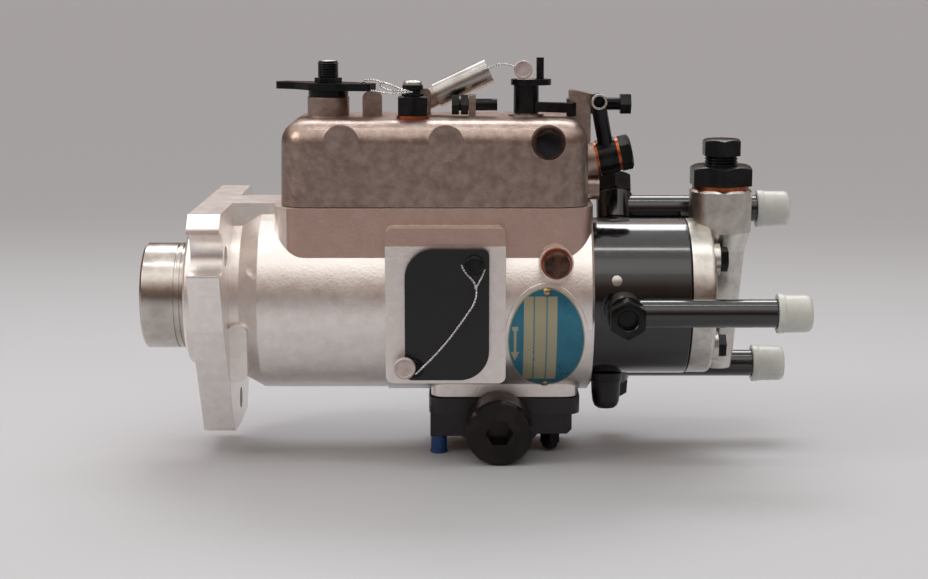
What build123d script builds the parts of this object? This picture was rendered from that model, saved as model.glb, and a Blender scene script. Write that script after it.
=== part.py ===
from build123d import *
import math
import os

# Rotary diesel injection pump with three outlets.
# X runs along the drive shaft from the engine side to the hydraulic head, Z is up.
# The origin is on the shaft axis, in the face of the mounting flange.

os.makedirs("parts", exist_ok=True)

# Mounting flange and drive end
flange_thickness = 13
pilot_radius = 29
pilot_length = 7
bolt_circle_radius = 45
bolt_hole_radius = 4.5
hub_radius = 22.5
hub_length = 18
hub_gap = 1
hub_thread_circle = 15
hub_thread_radius = 4
sleeve_radius = 14
shaft_radius = 9

# Pump body, with its lengths along X
neck_radius = 34.8
neck_end = 17
body_start = 25
body_end = 163
body_radius = 39.2
body_wall = 4.6
chamber_start = 30
head_bore_start = 112
deck_height = 41.5
deck_start = 31
deck_half_width = 33

# Governor cover
gasket_thickness = 0.5
cover_start = 34
cover_end = 161
cover_height = 34.8
cover_wall = 4.5
cover_corner = 13
cover_top_round = 9.5
cover_draft = 1.0
cover_boss_radius = 7.3
cover_boss_drop = 8.6
cover_boss_places = (59.7, 102.2, 143.8)

# Hydraulic head and end plate
head_radius = 33.3
head_start = 136
head_end = 204.1
rotor_radius = 9
end_disc_thickness = 9.9
column_x = 218.6
column_radius = 13.2
column_top = 46
column_foot = -31
outlet_angles = (181, 61, 301)
outlet_x = 175.3
outlet_end = 246
pipe_radius = 5.8
banjo_radius = 8
banjo_length = 12
banjo_washer = 1.3
banjo_bolt_radius = 4
banjo_bolt_flats = 14
banjo_bolt_head = 8
cap_length = 14

# Transfer pump
liner_radius = 17
liner_bore = 12.6
liner_offset = 1.2
liner_length = 7
pump_rotor_radius = 10.6

# Cam, plungers and rotor
cam_x = 124.3
cam_width = 15
cam_crest = 22
cam_valley = 23.6
valley_cutter = 13
roller_radius = 5.5
roller_length = 10
plunger_radius = 3.5
rotor_head_radius = 16

# Advance unit
advance_axis = -51.6
advance_piston_radius = 9
advance_piston_length = 25
advance_angle = 8
advance_half_length = 33
advance_plug_radius = 13.9

# Governor
carrier_x = 37
weight_pivot_x = 43
weight_pivot_radius = 21
weight_length = 18
weight_outer = 25
weight_angle = 16
sleeve_travel = 3
sleeve_start = 47
sleeve_length = 36
arm_pivot_height = 36
hook_height = 58
arm_top = hook_height + 4
arm_width = 26

# Levers on the cover
shutoff_x = 52.5
throttle_x = 135.8
lever_thickness = 3

# Fits
running_clearance = 0.05
seat_clearance = 0.1
free_clearance = 0.3


def across_flats(size):
    """Circumscribed radius of a hexagon that measures size between its flats."""
    return size / math.sqrt(3)


def save(solid, name):
    """Label a finished piece and write it to its own file."""
    solid.label = name
    export_step(solid, f"parts/{name}.step")


def polar_point(radius, degrees):
    """Point in the plane across the shaft, from +Y towards +Z."""
    return radius * math.cos(math.radians(degrees)), radius * math.sin(math.radians(degrees))


# Heights and lengths that follow from the sizes above
cover_base = deck_height + gasket_thickness
cover_top = cover_base + cover_height
cover_middle = (cover_start + cover_end) / 2
cover_length = cover_end - cover_start
boss_height = cover_top - cover_boss_drop
chamber_radius = body_radius - body_wall
head_bore = head_radius + running_clearance
inner_half_width = deck_half_width - cover_wall - 6.5
hub_front = -(pilot_length + hub_gap + hub_length)
hub_back = -(pilot_length + hub_gap)
seal_radius = sleeve_radius + 3.5
bush_radius = sleeve_radius + 3
bush_start = 3
bush_end = 26
seal_length = 8
sleeve_end = sleeve_start + sleeve_length
arm_thickness = 2.5
pad_radius = 2
arm_pin_radius = 2
arm_x = sleeve_end + free_clearance + pad_radius
arm_pivot_x = arm_x + arm_thickness / 2
bracket_width = 2 * (deck_half_width - cover_wall - 1)
bracket_thickness = 2
ear_gap = arm_width / 2 + free_clearance
bracket_start = arm_pivot_x - 14
bracket_end = arm_pivot_x + 16
bracket_screw_radius = 2
bracket_screw_y = bracket_width / 2 - 3.2
bracket_screw_places = (
    (bracket_start + 4, bracket_screw_y), (bracket_end - 4, bracket_screw_y),
    (bracket_start + 4, -bracket_screw_y), (bracket_end - 4, -bracket_screw_y),
)
spot_face = head_radius - 0.7
outlet_offset = spot_face + banjo_washer + banjo_length / 2

# Pump housing: flange, tapered neck, round body and the deck that carries the cover
ear_top = 41.5
ear_reach = 60.5
foot_depth = 54.5
foot_half_width = 22
scallop_radius = 8.5
scallop_distance = 62
scallop_angle = 24.5
pad_face = 41
pad_start = 77.6
pad_end = 126.6
pad_top = 34.6
pad_bottom = -29.6
window_centre = (103.5, -1)
window_width = 20
window_height = 32
plate_left = 85.6
plate_right = 119.8
plate_top = 26.5
plate_bottom = -27.5
plate_screw_radius = 1.8
plate_screw_places = ((plate_right - 6, plate_top - 6.5), (plate_left + 3.6, plate_bottom + 5))
name_plate_centre = (143.3, -12.3)
name_plate_half_width = 15.7
name_plate_half_height = 22.3
name_seat_height = 0.8
vent_x = 147.1
vent_height = 20
vent_face = 40.5
vent_hole_radius = 3
advance_pad_width = 62
advance_pad_depth = 40
advance_pad_face = -40.2
screw_slot_half_length = 9.5
screw_slot_half_width = 5.2
screw_slot_shift = 3.6
opening_start = cover_start + 7
opening_end = cover_end - cover_wall - 1
head_screw_x = 152
head_screw_radius = 3
head_screw_angles = (20, -20)

with BuildPart() as plate_seat:
    with BuildSketch(Plane.XZ.offset(body_radius + 2)):
        with Locations(name_plate_centre):
            Ellipse(name_plate_half_width + 1.5, name_plate_half_height + 1.5)
    extrude(amount=-body_radius / 2 - 2)
    with BuildSketch(Plane.YZ):
        Circle(body_radius + name_seat_height)
    extrude(amount=body_end, mode=Mode.INTERSECT)

ear_foot = (50.6, -6.4)
foot_shoulder = (37.5, -28)
with BuildPart() as housing:
    with BuildSketch(Plane.YZ):
        with BuildLine():
            Polyline(
                (0, ear_top), (ear_reach - 8, ear_top), (ear_reach - 3, ear_top - 5),
                (ear_reach, 17), ear_foot, foot_shoulder,
                (foot_half_width, -foot_depth), (0, -foot_depth - 1.5),
            )
            mirror(about=Plane.YZ)
        make_face()
        fillet(vertices().filter_by(lambda v: abs(v.X) > 1), radius=3)
        with Locations(
            polar_point(scallop_distance, scallop_angle),
            polar_point(scallop_distance, 180 - scallop_angle),
        ):
            Circle(scallop_radius, mode=Mode.SUBTRACT)
        with PolarLocations(bolt_circle_radius, 3, start_angle=30):
            Circle(bolt_hole_radius, mode=Mode.SUBTRACT)
    extrude(amount=flange_thickness)
    with BuildSketch(Plane.XZ):
        with BuildLine():
            Polyline(
                (-pilot_length, 0), (-pilot_length, pilot_radius - 1), (1 - pilot_length, pilot_radius),
                (0, pilot_radius), (0, neck_radius), (neck_end, neck_radius),
                (body_start, body_radius), (body_end - 1, body_radius),
                (body_end, body_radius - 1), (body_end, 0), close=True,
            )
        make_face()
    revolve(axis=Axis.X)

    # Deck for the governor cover, and the land between it and the flange
    with BuildSketch(Plane.XY.offset(deck_height)):
        with Locations(((deck_start + body_end) / 2, 0)):
            Rectangle(body_end - deck_start, 2 * deck_half_width)
        fillet(vertices(), radius=cover_corner)
    extrude(amount=-deck_height)
    with BuildSketch(Plane.XY.offset(deck_height)):
        with Locations(((flange_thickness + deck_start) / 2 + 2, 0)):
            Rectangle(deck_start - flange_thickness + 8, 28)
    extrude(amount=-12)

    # Thicker lower half of the casting
    with BuildSketch(Plane.YZ.offset(pad_start)):
        Circle(body_radius + 0.8)
        with Locations((0, body_radius / 2 - 4)):
            Rectangle(3 * body_radius, body_radius + 8, mode=Mode.SUBTRACT)
    extrude(amount=body_end - pad_start - 1)

    # Flat pad of the inspection window, and the round boss of the vent screw
    with BuildSketch(Plane.XZ.offset(pad_face)):
        with Locations(((pad_start + pad_end) / 2, (pad_top + pad_bottom) / 2)):
            Rectangle(pad_end - pad_start, pad_top - pad_bottom)
        fillet(vertices(), radius=3)
    extrude(amount=-20)
    with BuildSketch(Plane.XZ.offset(vent_face)):
        with Locations((vent_x, vent_height)):
            Circle(7)
    extrude(amount=-10)

    # Rib behind the near side of the flange
    rib_face = 36.5
    rib_height = -18
    with BuildSketch(Plane.XZ.offset(rib_face)):
        with Locations((flange_thickness + 3.5, rib_height)):
            RectangleRounded(8, 24, 3.9)
    extrude(amount=-10)

    # Pad of the advance unit
    with BuildSketch(Plane.XY.offset(advance_pad_face)):
        with Locations((cam_x + 2.4, 0)):
            Rectangle(advance_pad_width, advance_pad_depth)
        fillet(vertices(), radius=6)
    extrude(amount=14)

    # Bosses of the head locking screws on the far side
    for angle in head_screw_angles:
        with BuildSketch(Plane(
            origin=(head_screw_x, *polar_point(body_radius - 3, angle)),
            x_dir=(1, 0, 0), z_dir=(0, *polar_point(1, angle)),
        )):
            Circle(8)
        extrude(amount=5)

    # Raised seat of the name plate
    add(plate_seat.part)

    # Bores for seal, bush, governor chamber and hydraulic head
    with BuildSketch(Plane.YZ.offset(-pilot_length)):
        Circle(seal_radius)
    extrude(amount=seal_length, mode=Mode.SUBTRACT)
    with BuildSketch(Plane.YZ):
        Circle(bush_radius)
    extrude(amount=chamber_start, mode=Mode.SUBTRACT)
    with BuildSketch(Plane.YZ.offset(chamber_start)):
        Circle(chamber_radius)
    extrude(amount=head_bore_start - chamber_start, mode=Mode.SUBTRACT)
    with BuildSketch(Plane.YZ.offset(head_bore_start)):
        Circle(head_bore)
    extrude(amount=body_end - head_bore_start, mode=Mode.SUBTRACT)

    # Opening under the cover, inspection window and slot of the cam advance screw
    with BuildSketch(Plane.XY.offset(deck_height)):
        with Locations(((opening_start + opening_end) / 2, 0)):
            RectangleRounded(opening_end - opening_start, 2 * inner_half_width, 8)
    extrude(amount=-deck_height / 2, mode=Mode.SUBTRACT)
    with BuildSketch(Plane.XZ.offset(pad_face)):
        with Locations(window_centre):
            RectangleRounded(window_width, window_height, 6)
    extrude(amount=-16, mode=Mode.SUBTRACT)
    with BuildSketch(Plane.XY.offset(advance_pad_face)):
        with Locations((cam_x, screw_slot_shift)):
            Rectangle(2 * screw_slot_half_width, 2 * screw_slot_half_length)
        fillet(vertices(), radius=screw_slot_half_width - 0.2)
    extrude(amount=14, mode=Mode.SUBTRACT)
    with BuildSketch(Plane.XZ.offset(vent_face)):
        with Locations((vent_x, vent_height)):
            Circle(vent_hole_radius)
    extrude(amount=-8, mode=Mode.SUBTRACT)
    for angle in head_screw_angles:
        with BuildSketch(Plane(
            origin=(head_screw_x, *polar_point(body_radius + 2, angle)),
            x_dir=(1, 0, 0), z_dir=(0, *polar_point(1, angle)),
        )):
            Circle(head_screw_radius)
        extrude(amount=-12, mode=Mode.SUBTRACT)
    with BuildSketch(Plane.XY.offset(deck_height)):
        with Locations(*bracket_screw_places):
            Circle(bracket_screw_radius + seat_clearance)
    extrude(amount=-9, mode=Mode.SUBTRACT)
    with BuildSketch(Plane.XZ.offset(pad_face)):
        with Locations(*plate_screw_places):
            Circle(plate_screw_radius + seat_clearance)
    extrude(amount=-7, mode=Mode.SUBTRACT)
save(housing.part, "pump_housing")

# Governor cover: a cast aluminium hood with a rounded top and three cross bosses
shutoff_boss_radius = 8.8
shutoff_boss_top = cover_top + 8
stop_post_x = 71
stop_post_top = cover_top + 10.5
nut_x = 88.5
nut_y = -17
spigot_radius = 4.3
spigot_length = 9
spigot_tilt = 25
spigot_place = (94, 5, cover_top + 6.4)
lug_x = 158.3
lug_top = cover_top + 11.5
lug_length = 9
stop_screw_height = cover_top + 5
stop_screw_radius = 2.5
idle_lug_x = 113
idle_screw_y = -5
idle_lug_top = cover_top + 9
return_height = 58.6
return_tilt = 12
lever_shaft_radius = 4
throttle_boss_radius = 5
throttle_boss_top = cover_top + 0.8
bleed_x = cover_boss_places[-1]
spigot_axis = Vector(math.cos(math.radians(spigot_tilt)), 0, math.sin(math.radians(spigot_tilt)))
return_axis = Vector(math.cos(math.radians(return_tilt)), 0, math.sin(math.radians(return_tilt)))
return_seat = Vector(cover_end + 4.2, 0, return_height)

with BuildPart() as cover:
    with BuildSketch(Plane.XY.offset(cover_base)):
        with Locations((cover_middle, 0)):
            RectangleRounded(cover_length, 2 * deck_half_width, cover_corner)
    extrude(amount=cover_height, taper=cover_draft)
    fillet(faces().sort_by(Axis.Z)[-1].edges(), radius=cover_top_round)
    with BuildSketch(Plane.XZ.offset(deck_half_width)):
        with Locations(*((x, boss_height) for x in cover_boss_places)):
            Circle(cover_boss_radius)
    extrude(amount=-2 * deck_half_width)

    # Bosses and lugs on the top
    with BuildSketch(Plane.XY.offset(cover_top - 3)):
        with Locations((shutoff_x, 0)):
            Circle(shutoff_boss_radius)
    extrude(amount=shutoff_boss_top - cover_top + 3)
    with BuildSketch(Plane.XY.offset(cover_top - 3)):
        with Locations((throttle_x, 0)):
            Circle(throttle_boss_radius + 2.5)
    extrude(amount=throttle_boss_top - cover_top + 3)
    with BuildSketch(Plane.XZ.offset(3.5)):
        with Locations((stop_post_x, (cover_top + stop_post_top) / 2 - 1)):
            Rectangle(8, stop_post_top - cover_top + 2)
        fillet(vertices().group_by(Axis.Y)[-1], radius=3)
    extrude(amount=-7)
    with BuildSketch(Plane.XZ.offset(-spigot_place[1] + 5)):
        with Locations((spigot_place[0] - 1, cover_top + 4)):
            Rectangle(5, 15)
        fillet(vertices().group_by(Axis.Y)[-1], radius=2)
    extrude(amount=-10)
    with BuildSketch(Plane(origin=spigot_place, x_dir=(0, 1, 0), z_dir=spigot_axis)):
        Circle(spigot_radius)
    extrude(amount=spigot_length)
    with BuildSketch(Plane.XZ.offset(4 - idle_screw_y)):
        with Locations((idle_lug_x, (cover_top + idle_lug_top) / 2 - 1)):
            Rectangle(3, idle_lug_top - cover_top + 2)
    extrude(amount=-8)
    with BuildSketch(Plane.XZ.offset(4.5)):
        with BuildLine():
            Polyline(
                (lug_x - lug_length / 2, cover_top - 4), (lug_x - lug_length / 2, lug_top),
                (lug_x + lug_length / 2, lug_top - 2), (lug_x + lug_length / 2, cover_top - 12),
                (cover_end - 4, cover_top - 14), close=True,
            )
        make_face()
        fillet(vertices().group_by(Axis.Y)[-1], radius=1.5)
    extrude(amount=-9)

    # Seat of the return pipe and fixing lug on the right end
    with BuildSketch(Plane(origin=return_seat, x_dir=(0, 1, 0), z_dir=return_axis)):
        Circle(8.5)
    extrude(amount=-8)
    with BuildSketch(Plane.YZ.offset(cover_end - 2)):
        with Locations((0, cover_base + 4.5)):
            RectangleRounded(18, 9, 3)
    extrude(amount=7.5)

    # Cavity with rounded upper edges
    with BuildSketch(Plane.XY.offset(cover_base)):
        with Locations((cover_middle, 0)):
            RectangleRounded(
                cover_length - 2 * cover_wall, 2 * (deck_half_width - cover_wall), cover_corner - cover_wall
            )
    extrude(amount=cover_height - cover_wall, taper=2 * cover_draft, mode=Mode.SUBTRACT)

    # Shaft bores, stud hole, screw holes and the return passage
    with BuildSketch(Plane.XY.offset(cover_top + 20)):
        with Locations((shutoff_x, 0), (throttle_x, 0)):
            Circle(lever_shaft_radius + running_clearance)
    extrude(amount=-30, mode=Mode.SUBTRACT)
    with BuildSketch(Plane.XY.offset(cover_top)):
        with Locations((nut_x, nut_y)):
            Circle(3.2)
    extrude(amount=-10, mode=Mode.SUBTRACT)
    with BuildSketch(Plane.XZ.offset(deck_half_width)):
        with Locations((bleed_x, boss_height)):
            Circle(3.1)
    extrude(amount=-8, mode=Mode.SUBTRACT)
    with BuildSketch(Plane.YZ.offset(cover_end + 12)):
        with Locations((0, stop_screw_height)):
            Circle(stop_screw_radius + seat_clearance)
    extrude(amount=-22, mode=Mode.SUBTRACT)
    with BuildSketch(Plane.YZ.offset(idle_lug_x + 4)):
        with Locations((idle_screw_y, stop_screw_height)):
            Circle(stop_screw_radius + seat_clearance)
    extrude(amount=-8, mode=Mode.SUBTRACT)
    with BuildSketch(Plane(origin=return_seat, x_dir=(0, 1, 0), z_dir=return_axis)):
        Circle(4.1)
    extrude(amount=-12, mode=Mode.SUBTRACT)
save(cover.part, "governor_cover")

# Drive hub with three tapped holes, a dowel hole and two turned grooves
groove_depth = 0.8
groove_width = 1
hub_recess_radius = 8
hub_recess_depth = 9
hub_screw_radius = 4
dowel_radius = 2.5
shaft_front = hub_front + hub_recess_depth + 6
shaft_end = 99

with BuildPart() as hub:
    with BuildSketch(Plane.XZ):
        with BuildLine():
            Polyline(
                (hub_front, 0), (hub_front, hub_radius - 1), (hub_front + 1, hub_radius),
                (hub_back, hub_radius), (hub_back, sleeve_radius), (bush_end, sleeve_radius),
                (bush_end, 0), close=True,
            )
        make_face()
        with Locations((hub_back - 3.4, hub_radius), (hub_back - 1, hub_radius)):
            Rectangle(groove_width, 2 * groove_depth, mode=Mode.SUBTRACT)
    revolve(axis=Axis.X)
    with BuildSketch(Plane.YZ.offset(hub_front)):
        Circle(hub_recess_radius)
    extrude(amount=hub_recess_depth, mode=Mode.SUBTRACT)
    with BuildSketch(Plane.YZ.offset(hub_front)):
        Circle(hub_screw_radius + seat_clearance)
    extrude(amount=shaft_front - hub_front, mode=Mode.SUBTRACT)
    with BuildSketch(Plane.YZ.offset(shaft_front)):
        Circle(shaft_radius + running_clearance)
    extrude(amount=bush_end - shaft_front, mode=Mode.SUBTRACT)
    with BuildSketch(Plane.YZ.offset(hub_front)):
        with PolarLocations(hub_thread_circle, 3, start_angle=90):
            Circle(hub_thread_radius)
        with Locations(polar_point(hub_thread_circle, 30)):
            Circle(dowel_radius)
    extrude(amount=hub_length - 4, mode=Mode.SUBTRACT)
save(hub.part, "drive_hub")

with BuildPart() as shaft:
    with BuildSketch(Plane.YZ.offset(shaft_front)):
        Circle(shaft_radius)
    extrude(amount=shaft_end - shaft_front)
    chamfer(edges().filter_by(GeomType.CIRCLE), length=0.8)
    with BuildSketch(Plane.YZ.offset(shaft_front)):
        Circle(hub_screw_radius + running_clearance)
    extrude(amount=12, mode=Mode.SUBTRACT)
save(shaft.part, "drive_shaft")

with BuildPart() as hub_screw:
    with BuildSketch(Plane.YZ.offset(hub_front + 1.5)):
        RegularPolygon(across_flats(13), 6)
    extrude(amount=hub_recess_depth - 1.5)
    with BuildSketch(Plane.YZ.offset(hub_front + hub_recess_depth)):
        Circle(hub_screw_radius)
    extrude(amount=14)
save(hub_screw.part, "hub_screw")

with BuildPart() as bush:
    with BuildSketch(Plane.YZ.offset(bush_start)):
        Circle(bush_radius)
        Circle(sleeve_radius + running_clearance, mode=Mode.SUBTRACT)
    extrude(amount=bush_end - bush_start)
save(bush.part, "front_bush")

with BuildPart() as oil_seal:
    with BuildSketch(Plane.XZ):
        with BuildLine():
            Polyline(
                (0.8, seal_radius), (0.8 - seal_length + 1, seal_radius), (0.8 - seal_length + 1, 16),
                (-3, 15.6), (-3.5, sleeve_radius + running_clearance),
                (-1.5, sleeve_radius + running_clearance),
                (-0.6, 15.6), (0.8, 16), close=True,
            )
        make_face()
    revolve(axis=Axis.X)
save(oil_seal.part, "oil_seal")

# Weight carrier: a disc with four pillars that drive the weights
carrier_radius = 29
carrier_thickness = 3
pillar_width = 8
carrier_end = 60
with BuildPart() as carrier:
    with BuildSketch(Plane.YZ.offset(carrier_x)):
        Circle(carrier_radius)
    extrude(amount=carrier_thickness)
    with BuildSketch(Plane.YZ.offset(carrier_x - 6)):
        Circle(shaft_radius + 3.5)
    extrude(amount=6)
    with BuildSketch(Plane.YZ.offset(carrier_x)):
        with PolarLocations(carrier_radius - 4, 4, start_angle=45):
            Rectangle(8, pillar_width)
        with BuildSketch(mode=Mode.INTERSECT):
            Circle(carrier_radius)
    extrude(amount=carrier_end - carrier_x)
    with BuildSketch(Plane.YZ.offset(carrier_x - 6)):
        Circle(shaft_radius + running_clearance)
    extrude(amount=carrier_end, mode=Mode.SUBTRACT)
save(carrier.part, "weight_carrier")

# Four centrifugal weights, each with a toe that pushes the sleeve
weight_start = weight_pivot_x - 1
weight_inner = 14.3
weight_half_angle = 32
toe_length = 4.6
toe_inner = 11
for index in range(4):
    centre = 90 * index
    with BuildPart() as weight:
        with BuildSketch(Plane.YZ.offset(weight_start)):
            with BuildLine():
                near = centre - weight_half_angle
                far = centre + weight_half_angle
                outer = ThreePointArc(
                    polar_point(weight_outer, near), polar_point(weight_outer, centre),
                    polar_point(weight_outer, far),
                )
                inner = ThreePointArc(
                    polar_point(weight_inner, near), polar_point(weight_inner, centre),
                    polar_point(weight_inner, far),
                )
                Line(outer @ 0, inner @ 0)
                Line(outer @ 1, inner @ 1)
            make_face()
        extrude(amount=weight_length)
        with BuildSketch(Plane.YZ.offset(weight_start)):
            with PolarLocations((toe_inner + weight_inner) / 2 + 1, 1, start_angle=centre):
                Rectangle(weight_inner - toe_inner + 2, 8)
        extrude(amount=toe_length)
    save(weight.part, f"governor_weight_{index + 1}")

# Thrust sleeve on the shaft, and the governor arm that it pushes
with BuildPart() as sleeve:
    with BuildSketch(Plane.XZ):
        with BuildLine():
            Polyline(
                (sleeve_start, shaft_radius + running_clearance), (sleeve_start, shaft_radius + 4.3),
                (sleeve_start + 2, shaft_radius + 4.3), (sleeve_start + 2, shaft_radius + 1.8),
                (sleeve_end - 2, shaft_radius + 1.8), (sleeve_end - 2, shaft_radius + 5),
                (sleeve_end, shaft_radius + 5), (sleeve_end, shaft_radius + running_clearance), close=True,
            )
        make_face()
    revolve(axis=Axis.X)
save(sleeve.part, "thrust_sleeve")

arm_inner = shaft_radius + 1
hook_y = -8
spring_y = 6
with BuildPart() as arm:
    with BuildSketch(Plane.YZ.offset(arm_x)):
        with Locations((0, arm_top / 2)):
            Rectangle(arm_width, arm_top)
        fillet(vertices().group_by(Axis.Y)[-1], radius=4)
        SlotOverall(2 * arm_inner + 20, 2 * arm_inner, rotation=90, mode=Mode.SUBTRACT)
        with Locations((hook_y, hook_height), (spring_y, hook_height)):
            Circle(2, mode=Mode.SUBTRACT)
    extrude(amount=arm_thickness)
    with BuildSketch(Plane.XZ.offset(arm_width / 2)):
        with Locations((arm_x, 0)):
            Circle(pad_radius)
    extrude(amount=-(arm_width / 2 - arm_inner))
    with BuildSketch(Plane.XZ.offset(-arm_width / 2)):
        with Locations((arm_x, 0)):
            Circle(pad_radius)
    extrude(amount=arm_width / 2 - arm_inner)
    with BuildSketch(Plane.XZ.offset(arm_width / 2)):
        with Locations((arm_x + arm_thickness / 2, arm_pivot_height)):
            Circle(arm_pin_radius + 2)
    extrude(amount=-arm_width)
    with BuildSketch(Plane.XZ.offset(arm_width / 2)):
        with Locations((arm_x + arm_thickness / 2, arm_pivot_height)):
            Circle(arm_pin_radius + running_clearance)
    extrude(amount=-arm_width, mode=Mode.SUBTRACT)
save(arm.part, "governor_arm")

# Bracket on the deck with two ears for the pin of the arm
with BuildPart() as bracket:
    with BuildSketch(Plane.XY.offset(deck_height)):
        with Locations((arm_pivot_x + 1, 0)):
            Rectangle(bracket_end - bracket_start, bracket_width)
            Rectangle(bracket_end - bracket_start - 10, 2 * ear_gap, mode=Mode.SUBTRACT)
        with Locations(*bracket_screw_places):
            Circle(2.1, mode=Mode.SUBTRACT)
    extrude(amount=bracket_thickness)
    for side in (-1, 1):
        with BuildSketch(Plane.XZ.offset(side * ear_gap)):
            with Locations((arm_pivot_x, (arm_pivot_height - 4 + deck_height + 1) / 2)):
                Rectangle(11, deck_height + 1 - arm_pivot_height + 4)
            with Locations((arm_pivot_x, arm_pivot_height)):
                Circle(arm_pin_radius, mode=Mode.SUBTRACT)
        extrude(amount=side * 2)
with BuildPart() as bracket_fixings:
    with BuildSketch(Plane.XZ.offset(ear_gap + 3)):
        with Locations((arm_pivot_x, arm_pivot_height)):
            Circle(arm_pin_radius)
    extrude(amount=-2 * (ear_gap + 3))
    with BuildSketch(Plane.XY.offset(deck_height + bracket_thickness)):
        with Locations(*bracket_screw_places):
            Circle(3.4)
    extrude(amount=2)
    with BuildSketch(Plane.XY.offset(deck_height + bracket_thickness)):
        with Locations(*bracket_screw_places):
            Circle(2)
    extrude(amount=-10)
save(Compound(children=[bracket.part, *bracket_fixings.part.solids()]), "control_bracket")

# Shut-off shaft with its crank, the lever on top and the bar that it pulls
crank_pin_offset = 6
crank_pin_radius = 1.5
crank_height = 48
bar_thickness = 1.6
bar_y = 18
bar_end = 140
lever_seat_gap = 0.4
washer_thickness = 2.6
shutoff_lever_height = shutoff_boss_top + lever_seat_gap + washer_thickness
shutoff_stud_top = shutoff_lever_height + lever_thickness + 9
shutoff_rest_angle = -27

with BuildPart() as shutoff_shaft:
    with BuildSketch(Plane.XY.offset(crank_height)):
        Circle(crank_pin_offset + 3)
    extrude(amount=3)
    with BuildSketch(Plane.XY.offset(crank_height + 3)):
        Circle(lever_shaft_radius)
    extrude(amount=shutoff_stud_top - crank_height - 3)
    with BuildSketch(Plane.XY.offset(crank_height - bar_thickness - 0.6)):
        with Locations((0, crank_pin_offset)):
            Circle(crank_pin_radius)
    extrude(amount=bar_thickness + 0.6)
save(shutoff_shaft.part.moved(Location((shutoff_x, 0, 0))), "shutoff_shaft")

with BuildPart() as shutoff_lever:
    with BuildSketch(Plane.XY.offset(shutoff_lever_height)):
        with BuildLine():
            Polyline((-24.5, -4), (-14, -4.5), (-4, -9), (8, -8), (21.5, -4), (21.5, 4), (8, 8), (-4, 9),
                     (-14, 4.5), (-24.5, 4), close=True)
        make_face()
        fillet(vertices(), radius=2.5)
        Circle(lever_shaft_radius + running_clearance, mode=Mode.SUBTRACT)
        with Locations((-20, 0), (17, 0)):
            Circle(1.8, mode=Mode.SUBTRACT)
    extrude(amount=lever_thickness)
save(shutoff_lever.part.moved(Location((shutoff_x, 0, 0), (0, 0, shutoff_rest_angle))), "shutoff_lever")

with BuildPart() as shutoff_nut:
    with BuildSketch(Plane.XY.offset(shutoff_lever_height + lever_thickness)):
        RegularPolygon(across_flats(10), 6)
        Circle(lever_shaft_radius + running_clearance, mode=Mode.SUBTRACT)
    extrude(amount=2)
    with BuildSketch(Plane.XY.offset(shutoff_boss_top + lever_seat_gap)):
        Circle(shutoff_boss_radius - 0.4)
        Circle(lever_shaft_radius + running_clearance, mode=Mode.SUBTRACT)
    extrude(amount=washer_thickness)
save(shutoff_nut.part.moved(Location((shutoff_x, 0, 0))), "shutoff_nut_and_washer")

# Metering valve with its lever; the far arm of the lever is the one that the shut-off bar meets
valve_x = 150
valve_radius = 3.5
valve_foot = 14
valve_lever_height = head_radius + 7.5
valve_lever_thickness = 2
valve_arm = 8
tab_width = 1.6
shutoff_stroke = 3.7
with BuildPart() as metering_valve:
    with BuildSketch(Plane.XY.offset(valve_foot)):
        Circle(valve_radius)
    extrude(amount=valve_lever_height - valve_foot)
    with BuildSketch(Plane.XY.offset(valve_lever_height)):
        SlotCenterToCenter(2 * valve_arm, 6, rotation=90)
    extrude(amount=valve_lever_thickness)
    with BuildSketch(Plane.XY.offset(valve_lever_height + valve_lever_thickness)):
        with Locations((0, -valve_arm)):
            Circle(1.3)
    extrude(amount=4)
save(metering_valve.part.moved(Location((valve_x, 0, 0))), "metering_valve")

bar_base = crank_height - bar_thickness - 0.4
tab_x = valve_x - 3 - free_clearance - shutoff_stroke - tab_width
with BuildPart() as shutoff_bar:
    with BuildSketch(Plane.XY.offset(bar_base)):
        with Locations((shutoff_x + 2, 9)):
            RectangleRounded(14, 17, 3)
        with Locations(((shutoff_x + bar_end) / 2 + 2, bar_y - 2)):
            Rectangle(bar_end - shutoff_x, 5)
        with Locations((shutoff_x, crank_pin_offset)):
            SlotCenterToCenter(5, 2 * (crank_pin_radius + free_clearance), rotation=90, mode=Mode.SUBTRACT)
    extrude(amount=bar_thickness)
    with BuildSketch(Plane.XY.offset(bar_base)):
        with Locations(((bar_end + tab_x + tab_width) / 2, bar_y - 2)):
            Rectangle(tab_x + tab_width - bar_end + 2, 5)
    extrude(amount=bar_thickness)
    with BuildSketch(Plane.YZ.offset(tab_x)):
        with Locations(((bar_y + 0.5 + 5) / 2, (bar_base + bar_thickness + valve_lever_height - 1) / 2)):
            Rectangle(bar_y + 0.5 - 5, bar_base + bar_thickness - valve_lever_height + 1)
    extrude(amount=tab_width)
save(shutoff_bar.part, "shutoff_bar")

# Hook rod from the governor arm to the metering valve
hook_radius = 1.2
hook_start = arm_x - 4
hook_low = valve_lever_height + valve_lever_thickness + 2
hook_eye = 1.9
with BuildPart() as hook:
    with BuildLine():
        FilletPolyline(
            (hook_start, hook_y, hook_height), (118, hook_y, hook_height),
            (134, hook_y, hook_low), (valve_x - 2.6, hook_y, hook_low), radius=4,
        )
    with BuildSketch(Plane(origin=(hook_start, hook_y, hook_height), z_dir=(1, 0, 0))):
        Circle(hook_radius)
    sweep()
    with BuildSketch(Plane.XY.offset(hook_low - 1)):
        with Locations((valve_x, hook_y)):
            Circle(hook_eye + 1.6)
            Circle(hook_eye, mode=Mode.SUBTRACT)
    extrude(amount=2)
    with BuildSketch(Plane.YZ.offset(hook_start - 2)):
        with Locations((hook_y, hook_height)):
            Circle(3.2)
    extrude(amount=3.4)
save(hook.part, "linkage_hook")

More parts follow.
